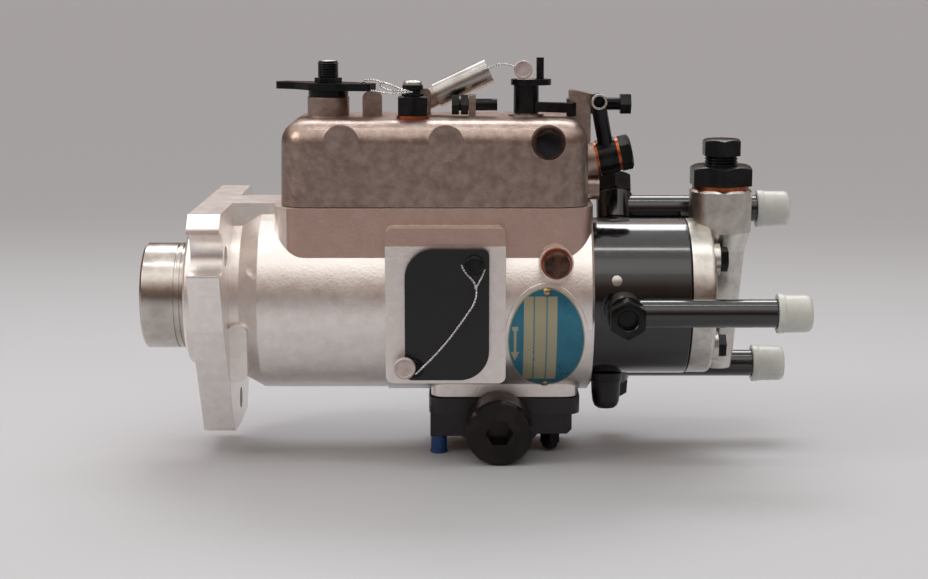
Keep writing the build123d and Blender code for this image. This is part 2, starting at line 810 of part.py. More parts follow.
# Throttle shaft with the inner link, and the black lever on top of the cover
throttle_hub_radius = 5.3
throttle_hub_start = throttle_boss_top + 0.4
throttle_hub_top = cover_top + 13
throttle_arm_height = cover_top + 1.9
throttle_arm_angle = -24
throttle_arm_reach = 21.5
throttle_plate_top = throttle_hub_top + 2.4
link_height = cover_top - 14
link_reach = 8
with BuildPart() as throttle_shaft:
    with BuildSketch(Plane.XY.offset(link_height)):
        Circle(lever_shaft_radius)
    extrude(amount=throttle_plate_top - link_height)
    with BuildSketch(Plane.XY.offset(link_height)):
        with Locations((0, link_reach / 2)):
            SlotCenterToCenter(link_reach, 8, rotation=90)
    extrude(amount=2.5)
    with BuildSketch(Plane.XY.offset(hook_height - 2)):
        with Locations((0, link_reach)):
            Circle(1.2)
    extrude(amount=link_height - hook_height + 2)
save(throttle_shaft.part.moved(Location((throttle_x, 0, 0))), "throttle_shaft")

with BuildPart() as throttle_lever:
    with BuildSketch(Plane.XY.offset(throttle_hub_start)):
        Circle(throttle_hub_radius)
        Circle(lever_shaft_radius + running_clearance, mode=Mode.SUBTRACT)
    extrude(amount=throttle_hub_top - throttle_hub_start)
    with BuildSketch(Plane.XY.offset(throttle_hub_top)):
        with Locations((2, 0)):
            SlotOverall(17, 12)
        Circle(lever_shaft_radius + running_clearance, mode=Mode.SUBTRACT)
    extrude(amount=2.4)
    with BuildSketch(Plane.XY.offset(throttle_plate_top)):
        with Locations((5.8, 0)):
            Circle(1.6)
    extrude(amount=9)
    with BuildSketch(Plane.XY.offset(throttle_arm_height)) as arm_profile:
        with Locations(Location((0, 0, 0), (0, 0, throttle_arm_angle))):
            with Locations((throttle_arm_reach / 2 + 2.5, 0)):
                Rectangle(throttle_arm_reach - 5, 5)
    extrude(amount=4)
    with BuildSketch(Plane.XY.offset(throttle_arm_height - 1.5)):
        with Locations(Location((0, 0, 0), (0, 0, throttle_arm_angle))):
            with Locations((throttle_arm_reach - 1.2, 0)):
                Rectangle(2.4, 5)
    extrude(amount=5.5)
save(throttle_lever.part.moved(Location((throttle_x, 0, 0))), "throttle_lever")

# Governor spring between the arm and the link of the throttle shaft
spring_radius = 3.2
spring_wire = 0.55
spring_turns = 9
spring_start = arm_x + arm_thickness + 3
spring_end = throttle_x - 2.2
with BuildPart() as governor_spring:
    with BuildLine() as coil:
        Helix((spring_end - spring_start) / spring_turns, spring_end - spring_start, spring_radius,
              center=(spring_start, spring_y, hook_height), direction=(1, 0, 0))
    with BuildSketch(Plane(origin=coil.line @ 0, z_dir=coil.line % 0)):
        RegularPolygon(spring_wire, 6)
    sweep(is_frenet=True)
save(governor_spring.part, "governor_spring")

# Hydraulic head: a painted barrel with outlet ports, a liner bore and the bore of the metering valve
port_depth = 14
head_port_x = 170.5
head_port_angle = 262
cap_stem = 4
end_screw_circle = 26
end_screw_radius = 3
with BuildPart() as head:
    with BuildSketch(Plane.YZ.offset(head_start)):
        Circle(head_radius)
    extrude(amount=head_end - head_start)
    chamfer(edges().filter_by(GeomType.CIRCLE), length=1)
    with BuildSketch(Plane.YZ.offset(head_start)):
        Circle(rotor_radius + running_clearance)
    extrude(amount=head_end - head_start, mode=Mode.SUBTRACT)
    with BuildSketch(Plane.XY.offset(head_radius)):
        with Locations((valve_x, 0)):
            Circle(valve_radius + running_clearance)
    extrude(amount=valve_foot - head_radius - 0.5, mode=Mode.SUBTRACT)
    for angle in outlet_angles:
        with BuildSketch(Plane(
            origin=(outlet_x, *polar_point(head_radius + 1, angle)),
            x_dir=(1, 0, 0), z_dir=(0, *polar_point(1, angle)),
        )):
            Circle(banjo_bolt_radius + seat_clearance)
        extrude(amount=-port_depth, mode=Mode.SUBTRACT)
        with BuildSketch(Plane(
            origin=(outlet_x, *polar_point(spot_face, angle)),
            x_dir=(1, 0, 0), z_dir=(0, *polar_point(1, angle)),
        )):
            Circle(banjo_radius + 1.5)
        extrude(amount=5, mode=Mode.SUBTRACT)
    for angle in head_screw_angles:
        with BuildSketch(Plane(
            origin=(head_screw_x, *polar_point(head_radius + 1, angle)),
            x_dir=(1, 0, 0), z_dir=(0, *polar_point(1, angle)),
        )):
            Circle(head_screw_radius + seat_clearance)
        extrude(amount=-9, mode=Mode.SUBTRACT)
    with BuildSketch(Plane(
        origin=(head_port_x, *polar_point(head_radius + 1, head_port_angle)),
        x_dir=(1, 0, 0), z_dir=(0, *polar_point(1, head_port_angle)),
    )):
        Circle(cap_stem)
    extrude(amount=-8, mode=Mode.SUBTRACT)
    with BuildSketch(Plane.YZ.offset(head_end)):
        with PolarLocations(end_screw_circle, 4, start_angle=45):
            Circle(end_screw_radius + seat_clearance)
    extrude(amount=-10, mode=Mode.SUBTRACT)
save(head.part, "hydraulic_head")

# Head locking screws
with BuildPart() as head_screws:
    for angle in head_screw_angles:
        direction = (0, *polar_point(1, angle))
        with BuildSketch(Plane(
            origin=(head_screw_x, *polar_point(body_radius + 2, angle)), x_dir=(1, 0, 0), z_dir=direction,
        )):
            RegularPolygon(across_flats(10), 6)
        extrude(amount=6)
        with BuildSketch(Plane(
            origin=(head_screw_x, *polar_point(body_radius + 2, angle)), x_dir=(1, 0, 0), z_dir=direction,
        )):
            Circle(head_screw_radius)
        extrude(amount=-12)

# Pumping rotor: a slotted head for plungers and shoes on a ground distributor shaft
rotor_head_start = cam_x - 8
rotor_head_end = head_start - free_clearance
shoe_width = 13
shoe_length = 11
shoe_seat = 9
shoe_slot = shoe_length / 2 + free_clearance
with BuildPart() as rotor:
    with BuildSketch(Plane.YZ.offset(rotor_head_start)):
        Circle(rotor_head_radius)
    extrude(amount=rotor_head_end - rotor_head_start)
    chamfer(edges().filter_by(GeomType.CIRCLE), length=0.6)
    with BuildSketch(Plane.YZ.offset(rotor_head_end)):
        Circle(rotor_radius)
    extrude(amount=head_end + 1 - rotor_head_end)
    with BuildSketch(Plane.XZ.offset(rotor_head_radius + 1)):
        with Locations((cam_x, 0)):
            Rectangle(2 * shoe_slot, shoe_width + 2 * seat_clearance)
    extrude(amount=-(rotor_head_radius + 1 - shoe_seat), mode=Mode.SUBTRACT)
    with BuildSketch(Plane.XZ.offset(-shoe_seat)):
        with Locations((cam_x, 0)):
            Rectangle(2 * shoe_slot, shoe_width + 2 * seat_clearance)
    extrude(amount=-(rotor_head_radius + 1 - shoe_seat), mode=Mode.SUBTRACT)
    with BuildSketch(Plane.XZ.offset(rotor_head_radius)):
        with Locations((cam_x, 0)):
            Circle(plunger_radius + running_clearance)
    extrude(amount=-2 * rotor_head_radius, mode=Mode.SUBTRACT)
save(rotor.part, "pumping_rotor")

# Drive plate between the shaft and the rotor
plate_start = shaft_end - 6
with BuildPart() as drive_plate:
    with BuildSketch(Plane.YZ.offset(rotor_head_start - 4)):
        Circle(rotor_head_radius + 4)
        with PolarLocations(rotor_head_radius + 4, 2, start_angle=90):
            Circle(4.5, mode=Mode.SUBTRACT)
    extrude(amount=4)
    with BuildSketch(Plane.YZ.offset(plate_start)):
        Circle(shaft_radius + 4)
    extrude(amount=rotor_head_start - plate_start)
    with BuildSketch(Plane.YZ.offset(plate_start)):
        Circle(shaft_radius + running_clearance)
    extrude(amount=shaft_end + 0.5 - plate_start, mode=Mode.SUBTRACT)
save(drive_plate.part, "drive_plate")

# Two plungers with roller shoes, at the inner end of their stroke
roller_centre = cam_crest - free_clearance - roller_radius
for name, side in (("near", 1), ("far", -1)):
    with BuildPart() as plunger:
        with BuildSketch(Plane.XZ.offset(side * 0.8)):
            with Locations((cam_x, 0)):
                Circle(plunger_radius)
        extrude(amount=side * (shoe_seat + free_clearance - 0.8))
    save(plunger.part, f"plunger_{name}")
    with BuildPart() as shoe:
        with BuildSketch(Plane.XZ.offset(side * (shoe_seat + free_clearance))):
            with Locations((cam_x, 0)):
                Rectangle(shoe_length, shoe_width)
        extrude(amount=side * (roller_centre - shoe_seat - 1))
        with BuildSketch(Plane.YZ.offset(cam_x - roller_length / 2)):
            with Locations((-side * roller_centre, 0)):
                Circle(roller_radius + running_clearance)
        extrude(amount=roller_length, mode=Mode.SUBTRACT)
    with BuildPart() as roller:
        with BuildSketch(Plane.YZ.offset(cam_x - roller_length / 2 + free_clearance)):
            with Locations((-side * roller_centre, 0)):
                Circle(roller_radius)
        extrude(amount=roller_length - 2 * free_clearance)
    save(Compound(children=[*shoe.part.solids(), *roller.part.solids()]), f"roller_shoe_{name}")

# Cam ring: six lobes left standing between six round valleys
lobe_count = 6
cam_outer = head_bore - 0.08
screw_shank = 3.6
screw_ball = 5.3
with BuildPart() as cam_ring:
    with BuildSketch(Plane.YZ.offset(cam_x - cam_width / 2)):
        Circle(cam_outer)
        Circle(cam_crest, mode=Mode.SUBTRACT)
        with PolarLocations(cam_valley - valley_cutter, lobe_count):
            Circle(valley_cutter, mode=Mode.SUBTRACT)
    extrude(amount=cam_width)
    with BuildSketch(Plane.XY.offset(-cam_outer)):
        with Locations((cam_x, 0)):
            Circle(screw_shank + running_clearance)
    extrude(amount=8, mode=Mode.SUBTRACT)
save(cam_ring.part, "cam_ring")

# Screw that joins the cam ring to the advance piston by its ball end
with BuildPart() as cam_screw:
    with BuildSketch(Plane.XZ):
        with BuildLine():
            ball_join = advance_axis + math.sqrt(screw_ball**2 - screw_shank**2)
            Polyline((0, advance_axis - screw_ball), (0, -cam_outer + 6), (screw_shank, -cam_outer + 6),
                     (screw_shank, ball_join))
            CenterArc((0, advance_axis), screw_ball, -90,
                      90 + math.degrees(math.atan2(ball_join - advance_axis, screw_shank)))
        make_face()
    revolve(axis=Axis.Z)
save(cam_screw.part.moved(Location((cam_x, 0, 0))), "cam_advance_screw")

# End plate: a disc with four screw bosses and the tapered column of the fuel inlet
disc_radius = 33
boss_face = head_end + end_disc_thickness + 2
pocket_radius = liner_radius + seat_clearance
inlet_bore = 9.5
inlet_bore_foot = 24
regulator_radius = 5.5
regulator_foot = -12
regulator_length = 34
column_plane = Plane(origin=(column_x, 0, 0), x_dir=(1, 0, 0), z_dir=(0, -1, 0))
column_axis = Axis((column_x, 0, 0), (0, 0, 1))
with BuildPart() as end_plate:
    with BuildSketch(Plane.YZ.offset(head_end)):
        Circle(disc_radius)
    extrude(amount=end_disc_thickness)
    fillet(edges().filter_by(GeomType.CIRCLE).sort_by(Axis.X)[-1], radius=2)
    with BuildSketch(Plane.YZ.offset(head_end)):
        with PolarLocations(end_screw_circle, 4, start_angle=45):
            Circle(6.6)
    extrude(amount=boss_face - head_end)
    with BuildSketch(column_plane):
        with BuildLine():
            Polyline(
                (0, column_foot), (6, column_foot), (6.6, column_foot + 4), (column_radius - 2.5, 20),
                (column_radius, 28), (column_radius, column_top - 1), (column_radius - 1, column_top),
                (0, column_top), close=True,
            )
        make_face()
    revolve(axis=column_axis)
    with BuildSketch(Plane.YZ.offset(head_end)):
        Circle(pocket_radius)
    extrude(amount=liner_length + free_clearance, mode=Mode.SUBTRACT)
    with BuildSketch(Plane.YZ.offset(head_end)):
        Circle(2 * disc_radius)
    extrude(amount=-20, mode=Mode.SUBTRACT)
    with BuildSketch(Plane.XY.offset(column_top)):
        with Locations((column_x, 0)):
            Circle(inlet_bore)
    extrude(amount=inlet_bore_foot - column_top, mode=Mode.SUBTRACT)
    with BuildSketch(Plane.XY.offset(column_top)):
        with Locations((column_x, 0)):
            Circle(regulator_radius + seat_clearance)
    extrude(amount=regulator_foot - column_top, mode=Mode.SUBTRACT)
    with BuildSketch(Plane.YZ.offset(head_end)):
        with PolarLocations(end_screw_circle, 4, start_angle=45):
            Circle(end_screw_radius + seat_clearance)
    extrude(amount=boss_face - head_end, mode=Mode.SUBTRACT)
save(end_plate.part, "end_plate")

with BuildPart() as end_screws:
    with BuildSketch(Plane.YZ.offset(boss_face)):
        with PolarLocations(end_screw_circle, 4, start_angle=45):
            RegularPolygon(across_flats(9), 6)
    extrude(amount=3.5)
    with BuildSketch(Plane.YZ.offset(boss_face)):
        with PolarLocations(end_screw_circle, 4, start_angle=45):
            Circle(end_screw_radius)
    extrude(amount=head_end - 9 - boss_face)
save(Compound(children=[*end_screws.part.solids(), *head_screws.part.solids()]), "head_screws")

# Transfer pump: eccentric liner, slotted rotor and two blades
blade_thickness = 2
blade_tip = liner_bore - liner_offset - 0.2
liner_start = head_end + seat_clearance
pump_rotor_start = head_end + 1 + free_clearance
pump_rotor_length = liner_length - 1 - 2 * free_clearance
with BuildPart() as liner:
    with BuildSketch(Plane.YZ.offset(liner_start)):
        Circle(liner_radius)
        with Locations((0, -liner_offset)):
            Circle(liner_bore, mode=Mode.SUBTRACT)
    extrude(amount=liner_length)
save(liner.part, "transfer_pump_liner")

with BuildPart() as pump_rotor:
    with BuildSketch(Plane.YZ.offset(pump_rotor_start)):
        Circle(pump_rotor_radius)
        Rectangle(3 * pump_rotor_radius, blade_thickness + 2 * running_clearance, mode=Mode.SUBTRACT)
        Circle(4)
    extrude(amount=pump_rotor_length)

with BuildPart() as blades:
    with BuildSketch(Plane.YZ.offset(pump_rotor_start + running_clearance)):
        with Locations(((blade_tip + 4.2) / 2, 0), (-(blade_tip + 4.2) / 2, 0)):
            Rectangle(blade_tip - 4.2, blade_thickness)
    extrude(amount=pump_rotor_length - 2 * running_clearance)
save(Compound(children=[*pump_rotor.part.solids(), *blades.part.solids()]), "transfer_pump_rotor")

# Fuel inlet: washer, hexagonal adaptor and its transit plug
inlet_washer_thickness = 1.6
adaptor_flats = 24.5
adaptor_base = column_top + inlet_washer_thickness
adaptor_hex = 8.5
adaptor_bore = 6
plug_flats = 15
with BuildPart() as adaptor:
    with BuildSketch(Plane.XY.offset(adaptor_base)):
        RegularPolygon(across_flats(adaptor_flats), 6)
    extrude(amount=adaptor_hex)
    with BuildSketch(Plane.XY.offset(adaptor_base)):
        Circle(across_flats(adaptor_flats) - 0.6)
    extrude(amount=adaptor_hex, mode=Mode.INTERSECT)
    with BuildSketch(Plane.XY.offset(adaptor_base)):
        Circle(inlet_bore - seat_clearance)
    extrude(amount=-12)
    with BuildSketch(Plane.XY.offset(adaptor_base + adaptor_hex)):
        Circle(adaptor_bore)
    extrude(amount=-adaptor_hex - 12, mode=Mode.SUBTRACT)
save(adaptor.part.moved(Location((column_x, 0, 0))), "inlet_adaptor")

with BuildPart() as inlet_plug:
    with BuildSketch(Plane.XY.offset(adaptor_base + adaptor_hex)):
        Circle(adaptor_bore + 0.5)
    extrude(amount=4)
    with BuildSketch(Plane.XY.offset(adaptor_base + adaptor_hex)):
        Circle(adaptor_bore - seat_clearance)
    extrude(amount=-8)
    with BuildSketch(Plane.XY.offset(adaptor_base + adaptor_hex + 4)):
        RegularPolygon(across_flats(plug_flats), 6)
    extrude(amount=7)
    chamfer(faces().sort_by(Axis.Z)[-1].edges(), length=0.5)
save(inlet_plug.part.moved(Location((column_x, 0, 0))), "inlet_plug")

# Regulating valve in the column: sleeve, piston and spring
regulator_bore = 3.5
regulator_piston_length = 9
regulator_travel = 4
regulator_stop = regulator_foot + 3
with BuildPart() as regulating_sleeve:
    with BuildSketch(Plane.XY.offset(regulator_foot + seat_clearance)):
        Circle(regulator_radius)
    extrude(amount=regulator_length)
    with BuildSketch(Plane.XY.offset(regulator_stop)):
        Circle(regulator_bore + running_clearance)
    extrude(amount=regulator_length, mode=Mode.SUBTRACT)
    with BuildSketch(Plane.XY.offset(regulator_foot)):
        Circle(regulator_bore - 1.2)
    extrude(amount=6, mode=Mode.SUBTRACT)
    with BuildSketch(Plane.XZ.offset(regulator_radius + 1)):
        with Locations((0, regulator_stop + 14), (0, regulator_stop + 20)):
            Circle(1.2)
    extrude(amount=-2 * regulator_radius - 2, mode=Mode.SUBTRACT)
save(regulating_sleeve.part.moved(Location((column_x, 0, 0))), "regulating_sleeve")

with BuildPart() as regulating_piston:
    with BuildSketch(Plane.XY.offset(regulator_stop + free_clearance)):
        Circle(regulator_bore)
    extrude(amount=regulator_piston_length)
    chamfer(edges().filter_by(GeomType.CIRCLE), length=0.4)
save(regulating_piston.part.moved(Location((column_x, 0, 0))), "regulating_piston")

piston_top = regulator_stop + free_clearance + regulator_piston_length
with BuildPart() as regulating_spring:
    with BuildLine() as coil:
        Helix(2.6, adaptor_base - 12 - piston_top - 1, 2.6, center=(column_x, 0, piston_top + 0.5))
    with BuildSketch(Plane(origin=coil.line @ 0, z_dir=coil.line % 0)):
        RegularPolygon(0.4, 6)
    sweep(is_frenet=True)

# Advance unit: a cast block under the body with a cross bore
advance_gasket = 0.5
advance_top = advance_pad_face - advance_gasket
advance_bottom = advance_axis - advance_plug_radius
advance_flange = 7
block_radius = advance_plug_radius
advance_bore = advance_piston_radius + running_clearance
slot_plane = Plane.XY.offset(advance_top + 1)
with BuildPart() as advance_housing:
    with BuildSketch(Plane.XY.offset(advance_top)):
        with Locations((cam_x + 2.4, 0)):
            Rectangle(advance_pad_width + 2, advance_pad_depth + 2)
        fillet(vertices(), radius=7)
    extrude(amount=-advance_flange)
    advance_half_width = 29
    with BuildSketch(Plane.XZ.offset(advance_pad_depth / 2 - 2)):
        with BuildLine():
            Polyline(
                (cam_x - advance_half_width, advance_top - 4),
                (cam_x - advance_half_width, advance_top - 17),
                (cam_x - 16, advance_top - 17), (cam_x - 14, advance_top - 18),
                (cam_x + 15, advance_top - 18), (cam_x + 16.5, advance_top - 16),
                (cam_x + advance_half_width, advance_top - 16),
                (cam_x + advance_half_width + 2, advance_top - 14),
                (cam_x + advance_half_width + 2, advance_top - 4), close=True,
            )
        make_face()
    extrude(amount=-advance_pad_depth + 4)
    with BuildSketch(Plane.XZ.offset(advance_half_length)):
        with Locations((cam_x, advance_axis)):
            Circle(block_radius)
    extrude(amount=-2 * advance_half_length)
    with BuildSketch(Plane.XY.offset(advance_top)):
        with Locations((cam_x, 0)):
            Rectangle(3 * block_radius, advance_pad_depth + 3)
    extrude(amount=6, mode=Mode.SUBTRACT)
    with BuildSketch(Plane.XZ.offset(advance_half_length)):
        with Locations((cam_x, advance_axis)):
            Circle(advance_bore)
    extrude(amount=-2 * advance_half_length, mode=Mode.SUBTRACT)
    with BuildSketch(slot_plane):
        with Locations((cam_x, screw_slot_shift)):
            Rectangle(2 * (screw_ball + 0.2), 2 * screw_slot_half_length)
    extrude(amount=advance_axis - advance_top - 1, mode=Mode.SUBTRACT)
save(advance_housing.part, "advance_housing")

plug_length = 5
with BuildPart() as advance_plug:
    with BuildSketch(Plane.XZ.offset(advance_half_length)):
        with Locations((cam_x, advance_axis)):
            Circle(advance_plug_radius)
    extrude(amount=plug_length)
    chamfer(edges().filter_by(GeomType.CIRCLE).sort_by(Axis.Y)[0], length=1.2)
    with BuildSketch(Plane.XZ.offset(advance_half_length)):
        with Locations((cam_x, advance_axis)):
            Circle(advance_piston_radius - seat_clearance)
    extrude(amount=-(advance_half_length - advance_piston_length / 2 - 2))
    with BuildSketch(Plane.XZ.offset(advance_half_length + plug_length)):
        with Locations((cam_x, advance_axis)):
            RegularPolygon(across_flats(10), 6)
    extrude(amount=-8, mode=Mode.SUBTRACT)
save(advance_plug.part, "advance_plug")

with BuildPart() as spring_cap:
    with BuildSketch(Plane.XZ.offset(-advance_half_length)):
        with Locations((cam_x, advance_axis)):
            Circle(advance_plug_radius - 1)
    extrude(amount=-4)
    with BuildSketch(Plane.XZ.offset(-advance_half_length - 4)):
        with Locations((cam_x, advance_axis)):
            RegularPolygon(across_flats(19), 6)
    extrude(amount=-7)
    with BuildSketch(Plane.XZ.offset(-advance_half_length)):
        with Locations((cam_x, advance_axis)):
            Circle(advance_piston_radius - seat_clearance)
            Circle(advance_piston_radius - 2, mode=Mode.SUBTRACT)
    extrude(amount=6)
save(spring_cap.part, "advance_spring_cap")

with BuildPart() as advance_piston:
    with BuildSketch(Plane.XZ.offset(advance_piston_length / 2)):
        with Locations((cam_x, advance_axis)):
            Circle(advance_piston_radius)
    extrude(amount=-advance_piston_length)
    chamfer(edges().filter_by(GeomType.CIRCLE), length=0.6)
    with BuildSketch(Plane.XY.offset(advance_axis + advance_piston_radius + 1)):
        with Locations((cam_x, 0)):
            Circle(screw_ball + free_clearance)
    extrude(amount=-(advance_piston_radius + 1 + screw_ball + 1), mode=Mode.SUBTRACT)
save(advance_piston.part, "advance_piston")

with BuildPart() as advance_spring:
    with BuildLine() as coil:
        Helix(4, advance_half_length - advance_piston_length / 2 - 2.6, 5.5,
              center=(cam_x, advance_piston_length / 2 + 1.3, advance_axis), direction=(0, 1, 0))
    with BuildSketch(Plane(origin=coil.line @ 0, z_dir=coil.line % 0)):
        RegularPolygon(0.9, 6)
    sweep(is_frenet=True)
save(Compound(children=[*advance_spring.part.solids(), *regulating_spring.part.solids()]), "valve_springs")

# Fixing stud with its cap nut on one side, and the transit plug on the other
stud_x = cam_x + 22
stud_y = -12
cap_nut_base = advance_top - 16

# Three outlets: pipe with banjo eye, two washers, banjo bolt and transit cap each
pipe_bore = 3
cap_wall = 2.2
cap_grip = 9
bolt_end = spot_face + 2 * banjo_washer + banjo_length


def radial_plane(x, radius, angle):
    """Plane square to the radius at an angle, facing outwards."""
    return Plane(origin=(x, *polar_point(radius, angle)), x_dir=(1, 0, 0), z_dir=(0, *polar_point(1, angle)))


with BuildPart() as outlet_pipes:
    for angle in outlet_angles:
        with BuildSketch(radial_plane(outlet_x, spot_face + banjo_washer, angle)):
            Circle(banjo_radius)
        extrude(amount=banjo_length)
        with BuildSketch(Plane(origin=(outlet_x, *polar_point(outlet_offset, angle)), z_dir=(1, 0, 0))):
            Circle(pipe_radius)
        extrude(amount=outlet_end - outlet_x)
    for angle in outlet_angles:
        with BuildSketch(radial_plane(outlet_x, spot_face, angle)):
            Circle(banjo_bolt_radius + seat_clearance)
        extrude(amount=2 * banjo_length, mode=Mode.SUBTRACT)
        with BuildSketch(Plane(origin=(outlet_x, *polar_point(outlet_offset, angle)), z_dir=(1, 0, 0))):
            Circle(pipe_bore)
        extrude(amount=outlet_end - outlet_x, mode=Mode.SUBTRACT)
save(outlet_pipes.part, "outlet_pipes")

with BuildPart() as outlet_washers:
    for angle in outlet_angles:
        for radius in (spot_face, spot_face + banjo_washer + banjo_length):
            with BuildSketch(radial_plane(outlet_x, radius, angle)):
                Circle(banjo_radius - 0.6)
                Circle(banjo_bolt_radius + seat_clearance, mode=Mode.SUBTRACT)
            extrude(amount=banjo_washer)

with BuildPart() as outlet_bolts:
    for angle in outlet_angles:
        with BuildSketch(radial_plane(outlet_x, bolt_end, angle)):
            RegularPolygon(across_flats(banjo_bolt_flats), 6)
        extrude(amount=banjo_bolt_head)
        with BuildSketch(radial_plane(outlet_x, bolt_end, angle)):
            Circle(banjo_bolt_radius)
        extrude(amount=-(bolt_end - spot_face) - port_depth + 3)
    for angle in outlet_angles:
        with BuildSketch(radial_plane(outlet_x, bolt_end + banjo_bolt_head, angle)):
            Circle(banjo_bolt_radius)
        extrude(amount=-4, mode=Mode.SUBTRACT)

with BuildPart() as outlet_caps:
    for angle in outlet_angles:
        with BuildSketch(Plane(origin=(outlet_end - cap_grip, *polar_point(outlet_offset, angle)),
                               z_dir=(1, 0, 0))):
            Circle(pipe_radius + seat_clearance + cap_wall)
        extrude(amount=cap_length)
    fillet(edges().filter_by(GeomType.CIRCLE).group_by(Axis.X)[-1], radius=1.5)
    for angle in outlet_angles:
        with BuildSketch(Plane(origin=(outlet_end - cap_grip, *polar_point(outlet_offset, angle)),
                               z_dir=(1, 0, 0))):
            Circle(pipe_radius + seat_clearance)
        extrude(amount=cap_grip + seat_clearance, mode=Mode.SUBTRACT)

# Inspection cover with two large rounded corners, and its two screws
plate_gasket = 0.5
plate_thickness = 3
plate_face = pad_face + plate_gasket + plate_thickness
plate_middle = ((plate_left + plate_right) / 2, (plate_top + plate_bottom) / 2)
with BuildPart() as inspection_cover:
    with BuildSketch(Plane.XZ.offset(pad_face + plate_gasket)):
        with Locations(plate_middle):
            Rectangle(plate_right - plate_left, plate_top - plate_bottom)
        fillet(vertices().filter_by(lambda v: (v.X < plate_middle[0]) == (v.Y > plate_middle[1])), radius=12)
        with Locations(*plate_screw_places):
            Circle(plate_screw_radius + seat_clearance, mode=Mode.SUBTRACT)
    extrude(amount=plate_thickness)
    fillet(edges().filter_by(Axis.Y), radius=3)
save(inspection_cover.part, "inspection_cover")

with BuildPart() as inspection_screws:
    with BuildSketch(Plane.XZ.offset(plate_face)):
        with Locations(*plate_screw_places):
            RegularPolygon(across_flats(7), 6)
    extrude(amount=2.5)
    with BuildSketch(Plane.XZ.offset(plate_face)):
        with Locations(*plate_screw_places):
            Circle(plate_screw_radius)
    extrude(amount=-9)

# Blank name plate wrapped on the casting, with two rivets
name_plate_thickness = 0.8
with BuildPart() as name_plate:
    with BuildSketch(Plane.XZ.offset(body_radius + 2)):
        with Locations(name_plate_centre):
            Ellipse(name_plate_half_width, name_plate_half_height)
    extrude(amount=-body_radius / 2 - 2)
    with BuildSketch(Plane.YZ.offset(body_start)):
        Circle(body_radius + name_seat_height + name_plate_thickness)
        Circle(body_radius + name_seat_height, mode=Mode.SUBTRACT)
    extrude(amount=body_end, mode=Mode.INTERSECT)

with BuildPart() as rivets:
    for angle in (168, 234.5):
        with BuildSketch(radial_plane(name_plate_centre[0], body_radius + name_seat_height
                                      + name_plate_thickness, angle)):
            Circle(1.5)
        extrude(amount=0.8)
save(Compound(children=[name_plate.part.solid(), *rivets.part.solids()]), "name_plate")

# Vent screw in the body and bleed screw in the cover
side_washer = 1.2
with BuildPart() as side_screws:
    with BuildSketch(Plane.XZ.offset(vent_face + side_washer)):
        with Locations((vent_x, vent_height)):
            Circle(5.4)
    extrude(amount=4.5)
    fillet(edges().filter_by(GeomType.CIRCLE).sort_by(Axis.Y)[0], radius=1.5)
    with BuildSketch(Plane.XZ.offset(vent_face + side_washer)):
        with Locations((vent_x, vent_height)):
            Circle(vent_hole_radius - seat_clearance)
    extrude(amount=-8)
    with BuildSketch(Plane.XZ.offset(deck_half_width + side_washer)):
        with Locations((bleed_x, boss_height)):
            RegularPolygon(across_flats(11), 6)
    extrude(amount=5)
    with BuildSketch(Plane.XZ.offset(deck_half_width + side_washer)):
        with Locations((bleed_x, boss_height)):
            Circle(3)
    extrude(amount=-8)
save(Compound(children=[*side_screws.part.solids(), *inspection_screws.part.solids()]), "side_screws")

# Cap nut on the cover with its stud from the bracket, and the cap nut of the advance unit
nut_washer = 1.3
nut_flats = 11.5
nut_foot = cover_top + nut_washer
with BuildPart() as cap_nuts:
    with BuildSketch(Plane.XY.offset(nut_foot)):
        with Locations((nut_x, nut_y)):
            RegularPolygon(across_flats(nut_flats), 6)
    extrude(amount=8)
    with BuildSketch(Plane.XY.offset(nut_foot + 8)):
        with Locations((nut_x, nut_y)):
            Circle(4.2)
    extrude(amount=6.5)
    fillet(edges().filter_by(GeomType.CIRCLE).sort_by(Axis.Z)[-1], radius=1)
    with BuildSketch(Plane.XY.offset(nut_foot)):
        with Locations((nut_x, nut_y)):
            Circle(3 + seat_clearance)
    extrude(amount=7, mode=Mode.SUBTRACT)
    with BuildSketch(Plane.XY.offset(cap_nut_base)):
        with Locations((stud_x, stud_y)):
            RegularPolygon(across_flats(8), 6)
    extrude(amount=-5)
    with BuildSketch(Plane.XY.offset(cap_nut_base - 5)):
        with Locations((stud_x, stud_y)):
            Circle(3.6)
    extrude(amount=-3)

with BuildPart() as cover_stud:
    with BuildSketch(Plane.XY.offset(deck_height + bracket_thickness)):
        with Locations((nut_x, nut_y)):
            Circle(3)
    extrude(amount=nut_foot + 6.5 - deck_height - bracket_thickness)
save(Compound(children=[*cap_nuts.part.solids(), cover_stud.part.solid()]), "cap_nuts")

# Open sealing sleeve over the adjusting screw, with lead seals and their wires
sleeve_tube_radius = 5.3
sleeve_tube_start = 4.4
sleeve_tube_end = 29
seal_disc_radius = 3.85
disc_place = Vector(throttle_x - 1.5, -4.5, throttle_plate_top + free_clearance + seal_disc_radius)
cover_seal_place = Vector(plate_left, -plate_face - 2.8, plate_bottom + 6)
cover_seal_radius = 4.4
wire_radius = 0.5
with BuildPart() as sealing_sleeve:
    sleeve_base = Vector(*spigot_place) + spigot_axis * sleeve_tube_start
    with BuildSketch(Plane(origin=sleeve_base, x_dir=(0, 1, 0), z_dir=spigot_axis)):
        Circle(sleeve_tube_radius)
        Circle(spigot_radius + seat_clearance, mode=Mode.SUBTRACT)
    extrude(amount=sleeve_tube_end - sleeve_tube_start)
save(sealing_sleeve.part, "sealing_sleeve")

with BuildPart() as lead_seals:
    with BuildSketch(Plane(origin=disc_place + Vector(0, 1.25, 0), z_dir=(0, -1, 0))):
        Circle(seal_disc_radius)
    extrude(amount=2.5)
    with BuildSketch(Plane(origin=cover_seal_place, z_dir=(0, -1, 0))):
        Circle(cover_seal_radius)
    extrude(amount=3)
save(lead_seals.part, "lead_seals")


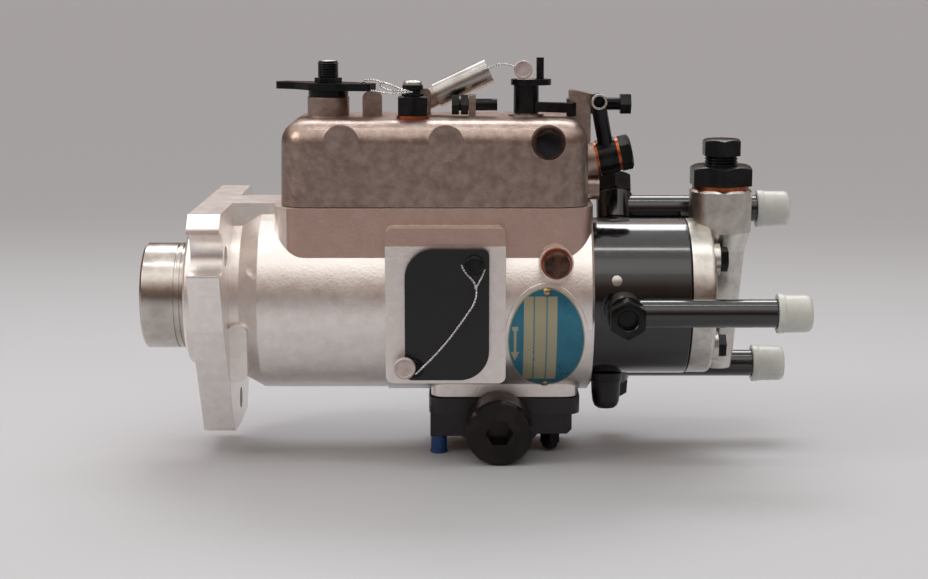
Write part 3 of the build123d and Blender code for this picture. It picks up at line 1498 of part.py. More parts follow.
def cord(points):
    """Round wire through the points, with the largest tangent arcs that its runs allow."""
    turns = []
    for before, corner, after in zip(points, points[1:], points[2:]):
        first = Vector(*corner) - Vector(*before)
        second = Vector(*after) - Vector(*corner)
        half_turn = math.radians(first.get_angle(second)) / 2
        turns.append(0.45 * min(first.length, second.length) / math.tan(half_turn))
    with BuildPart() as wire:
        with BuildLine() as route:
            if turns:
                FilletPolyline(*points, radius=turns)
            else:
                Line(*points)
        with BuildSketch(Plane(origin=route.line @ 0, z_dir=route.line % 0)):
            Circle(wire_radius)
        sweep()
    return wire.part


wire_y = -plate_face - wire_radius - free_clearance
sleeve_mouth = Vector(*spigot_place) + spigot_axis * (sleeve_tube_end - 4)
disc_edge = disc_place - Vector(seal_disc_radius + 0.2, 0, 0)
lever_wire = cord([tuple(sleeve_mouth), (121, 2, 95), tuple(disc_edge)])
long_wire = cord([
    (108.4, wire_y, 20.5), (113, wire_y, 11.5), (103, wire_y - 0.3, -6), (95.5, wire_y - 0.2, -17.5),
    (90.6, cover_seal_place.Y - 1.5, -21.7),
])
short_wire = cord([(118.9, wire_y, 18), (114.4, wire_y, 12.6)])
save(Compound(children=[*lever_wire.solids(), *long_wire.solids(), *short_wire.solids()]), "seal_wires")

# Stop screws with lock nuts
with BuildPart() as stop_screws:
    with BuildSketch(Plane.YZ.offset(lug_x - lug_length / 2 - 1)):
        with Locations((0, stop_screw_height)):
            Circle(stop_screw_radius)
    extrude(amount=23)
    with BuildSketch(Plane.YZ.offset(lug_x + lug_length / 2 + 0.2)):
        with Locations((0, stop_screw_height)):
            RegularPolygon(across_flats(8), 6)
    extrude(amount=3.5)
    with BuildSketch(Plane.YZ.offset(lug_x + lug_length / 2 + 12.5)):
        with Locations((0, stop_screw_height)):
            RegularPolygon(across_flats(8), 6)
    extrude(amount=4.5)
    with BuildSketch(Plane.YZ.offset(idle_lug_x - 8.5)):
        with Locations((idle_screw_y, stop_screw_height)):
            RegularPolygon(across_flats(8), 6)
    extrude(amount=3)
    with BuildSketch(Plane.YZ.offset(idle_lug_x - 5.5)):
        with Locations((idle_screw_y, stop_screw_height)):
            Circle(stop_screw_radius)
    extrude(amount=16)
    with BuildSketch(Plane.YZ.offset(idle_lug_x - 4.7)):
        with Locations((idle_screw_y, stop_screw_height)):
            RegularPolygon(across_flats(8), 6)
    extrude(amount=3)
save(stop_screws.part, "stop_screws")

# Return pipe with its banjo eye and bolt on the end of the cover
return_eye = 8
return_washer = 1.3
return_pipe_radius = 3.2
return_bolt_radius = 3.9
return_bend_y = -10.5
return_mouth_y = -19
return_mouth_height = 83.8
eye_base = return_seat + return_axis * return_washer
eye_middle = return_seat + return_axis * (return_washer + return_eye / 2)
with BuildPart() as return_pipe:
    with BuildSketch(Plane(origin=eye_base, x_dir=(0, 1, 0), z_dir=return_axis)):
        Circle(7.5)
    extrude(amount=return_eye)
    with BuildLine() as route:
        FilletPolyline(
            tuple(eye_middle), (return_seat.X, return_bend_y, return_mouth_height),
            (return_seat.X, return_mouth_y, return_mouth_height), radius=5,
        )
    with BuildSketch(Plane(origin=route.line @ 0, z_dir=route.line % 0)):
        Circle(return_pipe_radius)
    sweep()
    with BuildSketch(Plane(origin=return_seat, x_dir=(0, 1, 0), z_dir=return_axis)):
        Circle(return_bolt_radius + seat_clearance)
    extrude(amount=2 * return_eye, mode=Mode.SUBTRACT)
    with BuildSketch(Plane.XZ.offset(1 - return_mouth_y)):
        with Locations((return_seat.X, return_mouth_height)):
            Circle(return_pipe_radius - 0.9)
    extrude(amount=-6, mode=Mode.SUBTRACT)
save(return_pipe.part, "return_pipe")

with BuildPart() as return_bolt:
    bolt_seat = eye_base + return_axis * (return_eye + return_washer)
    with BuildSketch(Plane(origin=bolt_seat, x_dir=(0, 1, 0), z_dir=return_axis)):
        RegularPolygon(across_flats(13), 6)
    extrude(amount=5)
    with BuildSketch(Plane(origin=bolt_seat, x_dir=(0, 1, 0), z_dir=return_axis)):
        Circle(return_bolt_radius)
    extrude(amount=-(return_eye + 2 * return_washer + 7))
save(Compound(children=[*outlet_bolts.part.solids(), *return_bolt.part.solids()]), "banjo_bolts")

# Sealing washers of copper, all flat rings
with BuildPart() as washers:
    with BuildSketch(Plane(origin=(column_x, 0, column_top))):
        Circle(12)
        Circle(inlet_bore, mode=Mode.SUBTRACT)
    extrude(amount=inlet_washer_thickness)
    with BuildSketch(Plane(origin=(nut_x, nut_y, cover_top))):
        Circle(6.8)
        Circle(3 + seat_clearance, mode=Mode.SUBTRACT)
    extrude(amount=nut_washer)
    with BuildSketch(Plane.XZ.offset(vent_face)):
        with Locations((vent_x, vent_height)):
            Circle(6.4)
            Circle(vent_hole_radius, mode=Mode.SUBTRACT)
    extrude(amount=side_washer)
    with BuildSketch(Plane.XZ.offset(deck_half_width)):
        with Locations((bleed_x, boss_height)):
            Circle(6.4)
            Circle(3.1, mode=Mode.SUBTRACT)
    extrude(amount=side_washer)
    for base in (return_seat, return_seat + return_axis * (return_washer + return_eye)):
        with BuildSketch(Plane(origin=base, x_dir=(0, 1, 0), z_dir=return_axis)):
            Circle(7)
            Circle(return_bolt_radius + seat_clearance, mode=Mode.SUBTRACT)
        extrude(amount=return_washer)
save(Compound(children=[*outlet_washers.part.solids(), *washers.part.solids()]), "copper_washers")

# Moulded transit caps: three on the outlets, one under the head and one in the advance unit
with BuildPart() as port_cap:
    with BuildSketch(radial_plane(head_port_x, head_radius + 0.3, head_port_angle)):
        Circle(6.9)
    extrude(amount=3.5)
    with BuildSketch(radial_plane(head_port_x, head_radius + 3, head_port_angle)):
        Circle(6.3)
    extrude(amount=12)
    fillet(edges().filter_by(GeomType.CIRCLE).sort_by(Axis.Z)[0], radius=3)
    with BuildSketch(radial_plane(head_port_x, head_radius + 1, head_port_angle)):
        Circle(cap_stem - seat_clearance)
    extrude(amount=-7)
with BuildPart() as bottom_plug:
    with BuildSketch(Plane(origin=(cam_x - 25.4, -14, advance_top - 17))):
        Circle(3.4)
    extrude(amount=advance_bottom - advance_top + 17)
save(Compound(children=[*outlet_caps.part.solids(), *port_cap.part.solids(), *bottom_plug.part.solids()]),
     "transit_caps")

# Paper gaskets of the cover, the inspection window and the advance unit
with BuildPart() as gaskets:
    with BuildSketch(Plane.XY.offset(deck_height)):
        with Locations((cover_middle, 0)):
            RectangleRounded(cover_length - 0.6, 2 * deck_half_width - 0.6, cover_corner - 0.3)
            RectangleRounded(
                cover_length - 2 * cover_wall, 2 * (deck_half_width - cover_wall),
                cover_corner - cover_wall, mode=Mode.SUBTRACT,
            )
    extrude(amount=gasket_thickness)
    with BuildSketch(Plane.XZ.offset(pad_face)):
        with Locations(plate_middle):
            RectangleRounded(plate_right - plate_left - 1, plate_top - plate_bottom - 1, 11.5)
        with Locations(window_centre):
            RectangleRounded(window_width, window_height, 6, mode=Mode.SUBTRACT)
        with Locations(*plate_screw_places):
            Circle(plate_screw_radius + seat_clearance, mode=Mode.SUBTRACT)
    extrude(amount=plate_gasket)
    with BuildSketch(Plane.XY.offset(advance_top)):
        with Locations((cam_x + 2.4, 0)):
            RectangleRounded(advance_pad_width - 1, advance_pad_depth - 1, 6)
        with Locations((cam_x, screw_slot_shift)):
            Rectangle(2 * screw_slot_half_width + 2, 2 * screw_slot_half_length + 2, mode=Mode.SUBTRACT)
    extrude(amount=advance_gasket)
save(gaskets.part, "gaskets")
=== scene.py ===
import math

import bpy
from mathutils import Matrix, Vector


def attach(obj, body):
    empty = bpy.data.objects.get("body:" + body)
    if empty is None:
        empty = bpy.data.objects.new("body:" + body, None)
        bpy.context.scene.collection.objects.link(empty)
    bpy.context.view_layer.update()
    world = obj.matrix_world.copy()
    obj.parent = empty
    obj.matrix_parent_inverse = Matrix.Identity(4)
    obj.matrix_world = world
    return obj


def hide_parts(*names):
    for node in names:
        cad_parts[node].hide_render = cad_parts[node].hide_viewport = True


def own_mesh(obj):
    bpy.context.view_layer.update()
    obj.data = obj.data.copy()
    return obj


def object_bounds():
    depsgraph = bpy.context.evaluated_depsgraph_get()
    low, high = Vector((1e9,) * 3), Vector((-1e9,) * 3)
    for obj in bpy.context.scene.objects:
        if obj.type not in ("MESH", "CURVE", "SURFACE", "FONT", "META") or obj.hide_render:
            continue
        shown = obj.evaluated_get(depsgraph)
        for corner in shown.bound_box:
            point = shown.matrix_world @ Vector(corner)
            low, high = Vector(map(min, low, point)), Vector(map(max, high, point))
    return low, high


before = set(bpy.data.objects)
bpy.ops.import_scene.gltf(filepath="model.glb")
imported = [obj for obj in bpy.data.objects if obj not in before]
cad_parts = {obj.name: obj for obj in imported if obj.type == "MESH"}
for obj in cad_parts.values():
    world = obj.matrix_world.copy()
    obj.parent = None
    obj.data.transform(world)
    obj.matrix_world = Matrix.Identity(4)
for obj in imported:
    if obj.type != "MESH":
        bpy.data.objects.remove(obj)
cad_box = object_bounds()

# Camera, lamps and floor.
# The camera stands a little above the pump and square to its shaft. Wide soft lamps and a
# pale room light it, and it stands on a plain pale floor.


def linear(code):
    """Turns an sRGB colour written as six hex digits into the linear colour that shaders use."""
    channels = [int(code[i:i + 2], 16) / 255 for i in (1, 3, 5)]
    return (*[c / 12.92 if c <= 0.04045 else ((c + 0.055) / 1.055) ** 2.4 for c in channels], 1)


def add(material, kind, fields=None, **inputs):
    """Adds one shader node with its fields, and fills or links its inputs (i3 is input number 3)."""
    node = material.node_tree.nodes.new(kind)
    for field, value in (fields or {}).items():
        setattr(node, field, value)
    for name, value in inputs.items():
        socket = node.inputs[int(name[1:]) if name[1:].isdigit() else name.replace("_", " ")]
        if isinstance(value, bpy.types.NodeSocket):
            material.node_tree.links.new(value, socket)
        else:
            socket.default_value = value
    return node


bpy.context.scene.view_settings.view_transform = "Standard"
bpy.ops.object.select_all(action="DESELECT")
camera_place = (0.1096, -0.7499, 0.1319)
camera_tilt = math.radians(80.2)
bpy.ops.object.camera_add(location=camera_place, rotation=(camera_tilt, 0, 0))
camera = bpy.context.object
camera.data.sensor_width = 36
camera.data.lens = 68.79
camera.data.clip_start = 0.01
bpy.context.scene.camera = camera
beam_spread = math.radians(70)


def softbox(name, place, aim, width, height, power, tint):
    """Adds one rectangular lamp that faces the point it lights."""
    turn = (Vector(aim) - Vector(place)).to_track_quat("-Z", "Y").to_euler()
    bpy.ops.object.light_add(type="AREA", location=place, rotation=turn)
    lamp = bpy.context.object
    lamp.name = name
    lamp.data.shape = "RECTANGLE"
    lamp.data.size = width
    lamp.data.size_y = height
    lamp.data.spread = beam_spread
    lamp.data.energy = power
    lamp.data.color = linear(tint)[:3]


softbox("lamp_strip", (0.1, -0.2, 1.15), (0.1, 0.02, 0.02), 1.7, 0.07, 0.42, "#fffdf8")
softbox("lamp_front", (0.1, -0.75, 0.95), (0.1, 0, 0.02), 1.3, 0.5, 0.17, "#fffaf4")
softbox("lamp_left", (-1.0, -0.35, 0.75), (0.1, 0, 0.02), 0.4, 0.5, 0.7, "#fff4ec")
softbox("lamp_behind", (0.15, 0.75, 0.95), (0.1, 0, 0.02), 1.4, 0.35, 1.4, "#fbfbff")

room = bpy.data.worlds.new("pale_room")
room.use_nodes = True
bpy.context.scene.world = room
room.node_tree.nodes.clear()
sky_side = add(room, "ShaderNodeTexCoord").outputs["Generated"]
sky_height = add(room, "ShaderNodeSeparateXYZ", Vector=sky_side).outputs["Z"]
shade = add(room, "ShaderNodeValToRGB", Fac=sky_height)
floor_end, ceiling_end = shade.color_ramp.elements
floor_end.position = 0.1
floor_end.color = linear("#5c4b42")
ceiling_end.position = 0.76
ceiling_end.color = linear("#f2f0ee")
for place, colour in ((0.36, "#8a7368"), (0.56, "#dcd2ca")):
    wall = shade.color_ramp.elements.new(place)
    wall.color = linear(colour)
sky = add(room, "ShaderNodeBackground", Color=shade.outputs["Color"], Strength=1.06)
add(room, "ShaderNodeOutputWorld", Surface=sky.outputs["Background"])

floor_width = 120
bpy.ops.mesh.primitive_plane_add(size=floor_width, location=(0.1, 0, cad_box[0].z))
floor = bpy.context.object
floor.name = "floor"
floor_paint = bpy.data.materials.new("pale_matt_paint")
floor_paint.use_nodes = True
floor_shader = floor_paint.node_tree.nodes["Principled BSDF"]
floor_shader.inputs["Base Color"].default_value = linear("#bcbec2")
floor_shader.inputs["Roughness"].default_value = 0.5
floor.data.materials.append(floor_paint)

# Pump housing.
# A sand cast aluminium body, blasted and painted silver, with a milled mounting flange.
# The paint leaves a fine bright grain over the casting's slow waves. On the upright sides above
# the barrel a painted reflection of the brown room turns the silver brown.


def surface(name, colours, patch, grain, bump, roughness, metallic=1.0, edge=0.0003, waves=0.0):
    """Makes a finish whose colour drifts over patches and whose grain stands up by a bump.

    Patch, grain, bump and waves are sizes in millimetres: waves is how high the skin swells
    slowly from patch to patch, and bump how high the grain stands on it."""
    material = bpy.data.materials.new(name)
    material.use_nodes = True
    shader = material.node_tree.nodes["Principled BSDF"]
    place = add(material, "ShaderNodeTexCoord").outputs["Object"]
    drift = add(material, "ShaderNodeTexNoise", Vector=place, Scale=1000 / patch, Detail=6.0,
                Roughness=0.62)
    tone = add(material, "ShaderNodeValToRGB", Fac=drift.outputs["Fac"])
    for stop, place_on_ramp, colour in zip(tone.color_ramp.elements, (0.36, 0.64), colours):
        stop.position = place_on_ramp
        stop.color = linear(colour)
    shine = add(material, "ShaderNodeMapRange", Value=drift.outputs["Fac"], i1=0.3, i2=0.7,
                i3=roughness[0], i4=roughness[1])
    rounded = add(material, "ShaderNodeBevel", {"samples": 4}, Radius=edge)
    swell = add(material, "ShaderNodeBump", Height=drift.outputs["Fac"], Distance=waves / 1000,
                Strength=1.0, Normal=rounded.outputs["Normal"])
    speck = add(material, "ShaderNodeTexNoise", Vector=place, Scale=1000 / grain, Detail=3.0)
    relief = add(material, "ShaderNodeBump", Height=speck.outputs["Fac"], Distance=bump / 1000,
                 Strength=1.0, Normal=swell.outputs["Normal"])
    for socket, value in (("Base Color", tone.outputs["Color"]), ("Roughness", shine.outputs["Result"]),
                          ("Normal", relief.outputs["Normal"])):
        material.node_tree.links.new(value, shader.inputs[socket])
    shader.inputs["Metallic"].default_value = metallic
    return material


def dress(material, *names):
    """Gives CAD nodes their finish."""
    for name in names:
        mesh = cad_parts[name].data
        mesh.materials.clear()
        mesh.materials.append(material)


def maths(material, operation, *numbers):
    """Adds one sum of numbers or of other nodes' results, such as MULTIPLY."""
    terms = {f"i{place}": number for place, number in enumerate(numbers)}
    return add(material, "ShaderNodeMath", {"operation": operation}, **terms).outputs["Value"]


def tune(material, **numbers):
    """Sets numbers of a finish that are the same all over it, by the names of their sockets."""
    for name, number in numbers.items():
        shader = material.node_tree.nodes["Principled BSDF"]
        shader.inputs[name.replace("_", " ")].default_value = number


silver_casting = surface("silver_painted_cast_aluminium", ("#efe8e3", "#f8f3f0"), 5, 1.1, 0.09,
                         (0.3, 0.37), metallic=0.88, waves=0.03)
silver_shader = silver_casting.node_tree.nodes["Principled BSDF"]
silver = silver_shader.inputs["Base Color"].links[0].from_socket
# Painted reflection: faces that stand upright above the barrel and behind the flange are tinted brown. The
# tint stands in for the brown room they reflect and is not the casting's own colour.
reflection_coords = add(silver_casting, "ShaderNodeTexCoord")
reflection_facing = add(silver_casting, "ShaderNodeSeparateXYZ", Vector=reflection_coords.outputs["Normal"])
reflection_place = add(silver_casting, "ShaderNodeSeparateXYZ", Vector=reflection_coords.outputs["Object"])
reflection_depth = maths(silver_casting, "ABSOLUTE", reflection_place.outputs["Y"])
reflection_height = maths(silver_casting, "MULTIPLY_ADD", reflection_depth, -0.8, reflection_place.outputs["Z"])
upright = maths(silver_casting, "COMPARE", reflection_facing.outputs["Z"], 0, 0.25)
above_barrel = maths(silver_casting, "GREATER_THAN", reflection_height, -0.0057)
behind_flange = maths(silver_casting, "GREATER_THAN", reflection_place.outputs["X"], 0.037)
painted_reflection_mask = maths(silver_casting, "MULTIPLY", maths(silver_casting, "MULTIPLY", upright, above_barrel),
                   behind_flange)
# Multiplies the painted brown reflection (#d2b9b0) into the silver where the mask is 1.
skin = add(silver_casting, "ShaderNodeMix", {"data_type": "RGBA", "blend_type": "MULTIPLY"},
           i0=painted_reflection_mask, i6=silver, i7=linear("#d2b9b0"))
silver_casting.node_tree.links.new(skin.outputs[2], silver_shader.inputs["Base Color"])
dress(silver_casting, "pump_housing")

# Front bush and oil seal.
# A bronze bush carries the shaft, and a moulded rubber seal sits in front of it.
bronze = surface("turned_bronze", ("#a57c4a", "#c29a62"), 6, 0.4, 0.01, (0.25, 0.35))
seal_rubber = surface("moulded_nitrile_rubber", ("#17171a", "#222225"), 5, 0.5, 0.02, (0.5, 0.65), 0.0)
dress(bronze, "front_bush")
dress(seal_rubber, "oil_seal")

# Drive hub and shaft.
# Turned from steel bar. The tool leaves fine rings round the shaft, which draw the light
# out into bright and dark bands.


def turned(name, colours, ring, roughness, depth=0.02):
    """Makes a turned finish with rings round the X axis: ring is their spacing in millimetres."""
    material = surface(name, colours, 9, 0.25, 0.003, roughness)
    shader = material.node_tree.nodes["Principled BSDF"]
    grain = shader.inputs["Normal"].links[0].from_socket
    place = add(material, "ShaderNodeTexCoord").outputs["Object"]
    along = add(material, "ShaderNodeMapping", Vector=place, Scale=(1000 / ring, 8, 8)).outputs["Vector"]
    rings = add(material, "ShaderNodeTexNoise", Vector=along, Scale=1.0, Detail=2.0)
    relief = add(material, "ShaderNodeBump", Height=rings.outputs["Fac"], Distance=depth / 1000,
                 Strength=1.0, Normal=grain)
    material.node_tree.links.new(relief.outputs["Normal"], shader.inputs["Normal"])
    return material


turned_steel = turned("turned_steel", ("#b3aba4", "#cbc4bd"), 0.5, (0.2, 0.28))
dress(turned_steel, "drive_hub", "drive_shaft", "hub_screw")

# Governor weights, their carrier, the thrust sleeve and the linkage.
# The flat pieces are pressed from steel sheet with slightly dull faces, and the sleeve and
# the metering valve are ground bright.
pressed_steel = surface("pressed_steel", ("#8f8d8a", "#aaa8a4"), 12, 0.4, 0.01, (0.3, 0.45))
ground_steel = surface("ground_steel", ("#b4b3b1", "#cccbc9"), 8, 0.2, 0.004, (0.16, 0.26))
dress(pressed_steel, "weight_carrier", "governor_weight_1", "governor_weight_2", "governor_weight_3",
      "governor_weight_4", "governor_arm", "control_bracket", "linkage_hook", "shutoff_bar")
dress(ground_steel, "thrust_sleeve", "metering_valve")

# Hydraulic head, rotor, plungers and cam ring.
# The head is a ground steel barrel under gloss black paint, so it draws lamps out into
# long streaks. Inside it all that carries fuel pressure is hardened and ground.
black_paint = turned("gloss_black_paint", ("#08080a", "#101012"), 1.4, (0.1, 0.2), depth=0.006)
tune(black_paint, Metallic=0.0, Coat_Weight=0.8, Coat_Roughness=0.08)
dress(black_paint, "hydraulic_head")
dress(ground_steel, "pumping_rotor", "plunger_near", "plunger_far", "roller_shoe_near",
      "roller_shoe_far", "cam_ring", "cam_advance_screw", "drive_plate")

# End plate with the transfer pump behind it.
# A finer aluminium casting than the body, blasted to a smooth satin and milled where it
# meets the head.
blasted_casting = surface("blasted_cast_aluminium", ("#bcb7b0", "#d9d5cf"), 6, 0.35, 0.014,
                          (0.26, 0.36), waves=0.015)
dress(blasted_casting, "end_plate")
dress(ground_steel, "transfer_pump_liner", "transfer_pump_rotor", "regulating_sleeve",
      "regulating_piston")

# Outlet pipes and black screws.
# Steel with an oiled black oxide finish, which is nearly black on the flats and shows a
# little grey where spanners and bends have rubbed it.
black_oxide = surface("oiled_black_oxide_steel", ("#121213", "#262628"), 7, 0.4, 0.012, (0.2, 0.34), 0.7)
dress(black_oxide, "head_screws", "stop_screws", "advance_spring_cap", "side_screws", "shutoff_lever",
      "throttle_lever", "return_pipe", "cap_nuts")
pipe_paint = surface("gloss_black_steel_tube", ("#0b0b0c", "#151517"), 7, 0.4, 0.003, (0.12, 0.2), 0.0)
tune(pipe_paint, Coat_Weight=0.8, Coat_Roughness=0.1)
dress(pipe_paint, "outlet_pipes")

# Banjo bolts of the outlets and of the return pipe.
# Hexagons with the corners turned off to a cone, and a round recess in the end of those
# on the outlets.


def lathe(profile, corners=64):
    """Turns a piece about Z: a ring drawn from one (radius, height) to the next, in millimetres."""
    radius, height = profile[0]
    bpy.ops.object.select_all(action="DESELECT")
    bpy.ops.mesh.primitive_circle_add(vertices=corners, radius=radius / 1000, location=(0, 0, 0))
    bpy.ops.object.mode_set(mode="EDIT")
    bpy.ops.mesh.select_all(action="SELECT")
    bpy.ops.transform.translate(value=(0, 0, height / 1000))
    for (inner, low), (outer, high) in zip(profile, profile[1:]):
        bpy.ops.mesh.extrude_region_move(TRANSFORM_OT_translate={"value": (0, 0, (high - low) / 1000)})
        grown = outer / inner
        bpy.ops.transform.resize(value=(grown, grown, 1), center_override=(0, 0, high / 1000))
    bpy.ops.mesh.select_all(action="SELECT")
    bpy.ops.mesh.remove_doubles(threshold=1e-6)
    bpy.ops.mesh.select_all(action="DESELECT")
    bpy.ops.mesh.select_non_manifold(extend=False)
    bpy.ops.mesh.fill_holes(sides=corners)
    bpy.ops.mesh.select_all(action="SELECT")
    bpy.ops.mesh.normals_make_consistent(inside=False)
    bpy.ops.object.mode_set(mode="OBJECT")
    return bpy.context.object


def hexagon(flats, height, recess=0.0, depth=0.0):
    """Forges a hexagon on Z, coned at its top, with a round recess if one is given, in millimetres."""
    corner = flats / math.sqrt(3)
    face = 0.46 * flats
    rim = 1.3 * corner
    cone_angle = math.radians(28)
    profile = [(rim, -1), (rim, height - (rim - face) * math.tan(cone_angle)), (face, height)]
    if recess:
        profile += [(recess + 0.5, height), (recess, height - 0.5), (recess, height - depth)]
    cutter = lathe(profile)
    piece = lathe([(corner, 0), (corner, height + 1)], corners=6)
    shape = piece.modifiers.new("coned corners", "BOOLEAN")
    shape.operation = "INTERSECT"
    shape.solver = "EXACT"
    shape.object = cutter
    bpy.ops.object.modifier_apply(modifier=shape.name)
    bpy.data.objects.remove(cutter)
    return piece


crease_angle = math.radians(33)


def fit(piece, name, material, body, *seats):
    """Fixes one copy of a piece to its body at each seat, a foot in millimetres and a direction."""
    fitted = []
    for number, (foot, direction) in enumerate(seats, 1):
        copy = piece.copy()
        copy.data = piece.data.copy()
        bpy.context.collection.objects.link(copy)
        copy.name = name if len(seats) == 1 else f"{name}_{number}"
        copy.rotation_euler = Vector(direction).to_track_quat("Z", "Y").to_euler()
        copy.location = Vector(foot) / 1000
        bpy.ops.object.select_all(action="DESELECT")
        copy.select_set(True)
        bpy.context.view_layer.objects.active = copy
        bpy.ops.object.transform_apply(location=True, rotation=True, scale=True)
        bpy.ops.object.shade_smooth_by_angle(angle=crease_angle)
        copy.data.materials.clear()
        copy.data.materials.append(material)
        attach(copy, body)
        fitted.append(copy)
    bpy.data.objects.remove(piece)
    return fitted


outlet_angles = (181, 61, 301)
outlet_x = 175.3


def across(angle):
    """Direction square to the shaft, from +Y towards +Z."""
    return Vector((0, math.cos(math.radians(angle)), math.sin(math.radians(angle))))


def round_shaft(x, reach, angle):
    """Place at this distance from the shaft's axis, square to it at this angle, in millimetres."""
    return Vector((x, 0, 0)) + reach * across(angle)


banjo_reach = 47.2
bolt_seats = [(round_shaft(outlet_x, banjo_reach, angle), across(angle)) for angle in outlet_angles]
outlet_bolts = fit(hexagon(14, 8, recess=4, depth=4), "outlet_banjo_bolt", black_oxide, "pump_body",
                   *bolt_seats)
for bolt in outlet_bolts:
    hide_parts("banjo_bolts")
return_tilt = math.radians(12)
return_axis = Vector((math.cos(return_tilt), 0, math.sin(return_tilt)))
return_x = 165.2
return_seat = Vector((return_x, 0, 58.6)) + 10.6 * return_axis
return_bolt, = fit(hexagon(13, 5), "return_banjo_bolt", black_oxide, "pump_body",
                   (return_seat, return_axis))
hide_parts("banjo_bolts")

# Copper washers.
# Soft copper rings, red where they are new and nearly black under the outlets' bolts, where
# they were oiled and heated.
copper = surface("annealed_copper", ("#9c4a2c", "#bd6b45"), 3, 0.3, 0.01, (0.26, 0.4))
copper_shader = copper.node_tree.nodes["Principled BSDF"]
bright_copper = copper_shader.inputs["Base Color"].links[0].from_socket
ring_place = add(copper, "ShaderNodeTexCoord").outputs["Object"]
ring_axes = add(copper, "ShaderNodeSeparateXYZ", Vector=ring_place)
at_outlets = maths(copper, "COMPARE", ring_axes.outputs["X"], outlet_x / 1000, 0.009)
below_return = maths(copper, "LESS_THAN", ring_axes.outputs["Z"], 0.0505)
browned = maths(copper, "MULTIPLY", at_outlets, below_return)
copper_tone = add(copper, "ShaderNodeMix", {"data_type": "RGBA"}, i0=browned, i6=bright_copper,
                  i7=linear("#2e211c"))
copper.node_tree.links.new(copper_tone.outputs[2], copper_shader.inputs["Base Color"])
dress(copper, "copper_washers")

# Transit caps of the outlets.
# Thin milky polythene cups pushed over the pipe ends, with a stiffer rim. The plated nose
# of each pipe shows through the wall as a grey band.
polythene = surface("milky_polythene", ("#e6e9e2", "#f3f5f0"), 6, 0.6, 0.01, (0.3, 0.4), 0.0)
tune(polythene, Transmission_Weight=0.35, Subsurface_Weight=0.2, IOR=1.51,
     Subsurface_Radius=(0.003, 0.003, 0.003))
cap = lathe([
    (6.2, 0), (7.9, 0), (8.1, 0.3), (8.1, 2.4), (7.75, 2.9), (7.7, 11.6), (7.4, 13), (6.6, 13.8),
    (5.8, 14), (0.3, 14), (0.3, 12.4), (5.5, 12.2), (6.2, 11.2), (6.2, 0),
])
pipe_offset = 39.9
cap_mouth_x = 237
cap_seats = [(round_shaft(cap_mouth_x, pipe_offset, angle), (1, 0, 0)) for angle in outlet_angles]
for outlet_cap in fit(cap, "outlet_transit_cap", polythene, "pump_body", *cap_seats):
    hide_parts("transit_caps")
zinc_plate = surface("zinc_plated_steel", ("#b9b7b0", "#cfcdc8"), 6, 0.4, 0.01, (0.22, 0.36))
nose = lathe([(5.82, 0), (5.98, 0.3), (5.98, 6), (5.6, 6.6), (3.2, 6.6), (3.2, 5.8)])
nose_x = 240
nose_seats = [(round_shaft(nose_x, pipe_offset, angle), (1, 0, 0)) for angle in outlet_angles]
fit(nose, "pipe_nose", zinc_plate, "pump_body", *nose_seats)

# Transit cap of the spare port and transit plug of the advance unit.
# The cap is black moulded plastic with a wide rim and a domed end, and the plug is blue.
black_plastic = surface("moulded_black_nylon", ("#0f0f10", "#18181a"), 6, 0.5, 0.01, (0.32, 0.42), 0.0)
blue_plastic = surface("moulded_blue_polythene", ("#123a6d", "#1b4d88"), 5, 0.5, 0.01, (0.35, 0.45), 0.0)
port_angle = 262
port_axis = across(port_angle)
port_seat = round_shaft(170.5, 33.8, port_angle)
port_cap, = fit(
    lathe([(4, -0.5), (6.7, -0.5), (6.9, -0.3), (6.9, 3), (6.7, 3.2), (6.3, 3.4), (6.1, 8), (5.7, 11.6),
           (4.9, 13.6), (3.4, 14.7), (1.4, 15), (0.1, 15)]),
    "port_transit_cap", black_plastic, "pump_body", (port_seat, port_axis))
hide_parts("transit_caps")
advance_transit_plug, = fit(
    lathe([(3.2, 0), (3.4, 0.3), (3.4, 7), (3.7, 7.2), (3.7, 8), (3.3, 8.2), (1.5, 8.2), (1.3, 7.4),
           (0.1, 7.4)]),
    "advance_transit_plug", blue_plastic, "pump_body", ((98.9, -14, -57.3), (0, 0, -1)))
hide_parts("transit_caps")

# Fuel inlet: adaptor and plug.
# A large coned hexagon screwed into the column, and a smaller plug above it with a short
# length of thread showing between them.


def thread(radius, depth, pitch, length):
    """Lists the (radius, height) steps of a thread's crests and roots, in millimetres."""
    steps = [(radius - depth, 0)]
    for turn in range(round(length / pitch)):
        steps += [(radius, (turn + 0.35) * pitch), (radius, (turn + 0.6) * pitch),
                  (radius - depth, (turn + 0.95) * pitch)]
    return steps


column_x = 218.6
adaptor, = fit(hexagon(24.5, 8.5, recess=6.4, depth=3), "inlet_adaptor_hexagon", black_oxide,
               "pump_body", ((column_x, 0, 47.6), (0, 0, 1)))
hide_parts("inlet_adaptor")
fit(lathe(thread(6.9, 0.55, 1.25, 4.6)), "inlet_plug_thread", black_oxide, "pump_body",
    ((column_x, 0, 55.6), (0, 0, 1)))
plug_head, = fit(hexagon(15, 7), "inlet_plug_hexagon", black_oxide, "pump_body",
                 ((column_x, 0, 60.1), (0, 0, 1)))
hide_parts("inlet_plug")

# Advance unit under the body.
# An iron casting painted black over a coarse sand skin. Its plug is turned, with a
# hexagon socket.
black_casting = surface("black_painted_iron_casting", ("#151213", "#242022"), 9, 0.8, 0.08,
                        (0.26, 0.42), 0.0, waves=0.1)
dress(black_casting, "advance_housing")
turned_black = surface("turned_black_steel", ("#1a1617", "#2b2526"), 6, 0.3, 0.008, (0.16, 0.28), 0.7)
dress(turned_black, "advance_plug")
dress(ground_steel, "advance_piston")

# Springs.
# Cold drawn wire, oil tempered to a blue grey. The governor's spring is drawn out between two
# hooks, and the springs of the advance piston and of the regulating piston are pressed in.
spring_wire = surface("oil_tempered_wire", ("#5b5f66", "#7b7f85"), 3, 0.3, 0.005, (0.25, 0.35))
dress(spring_wire, "governor_spring")


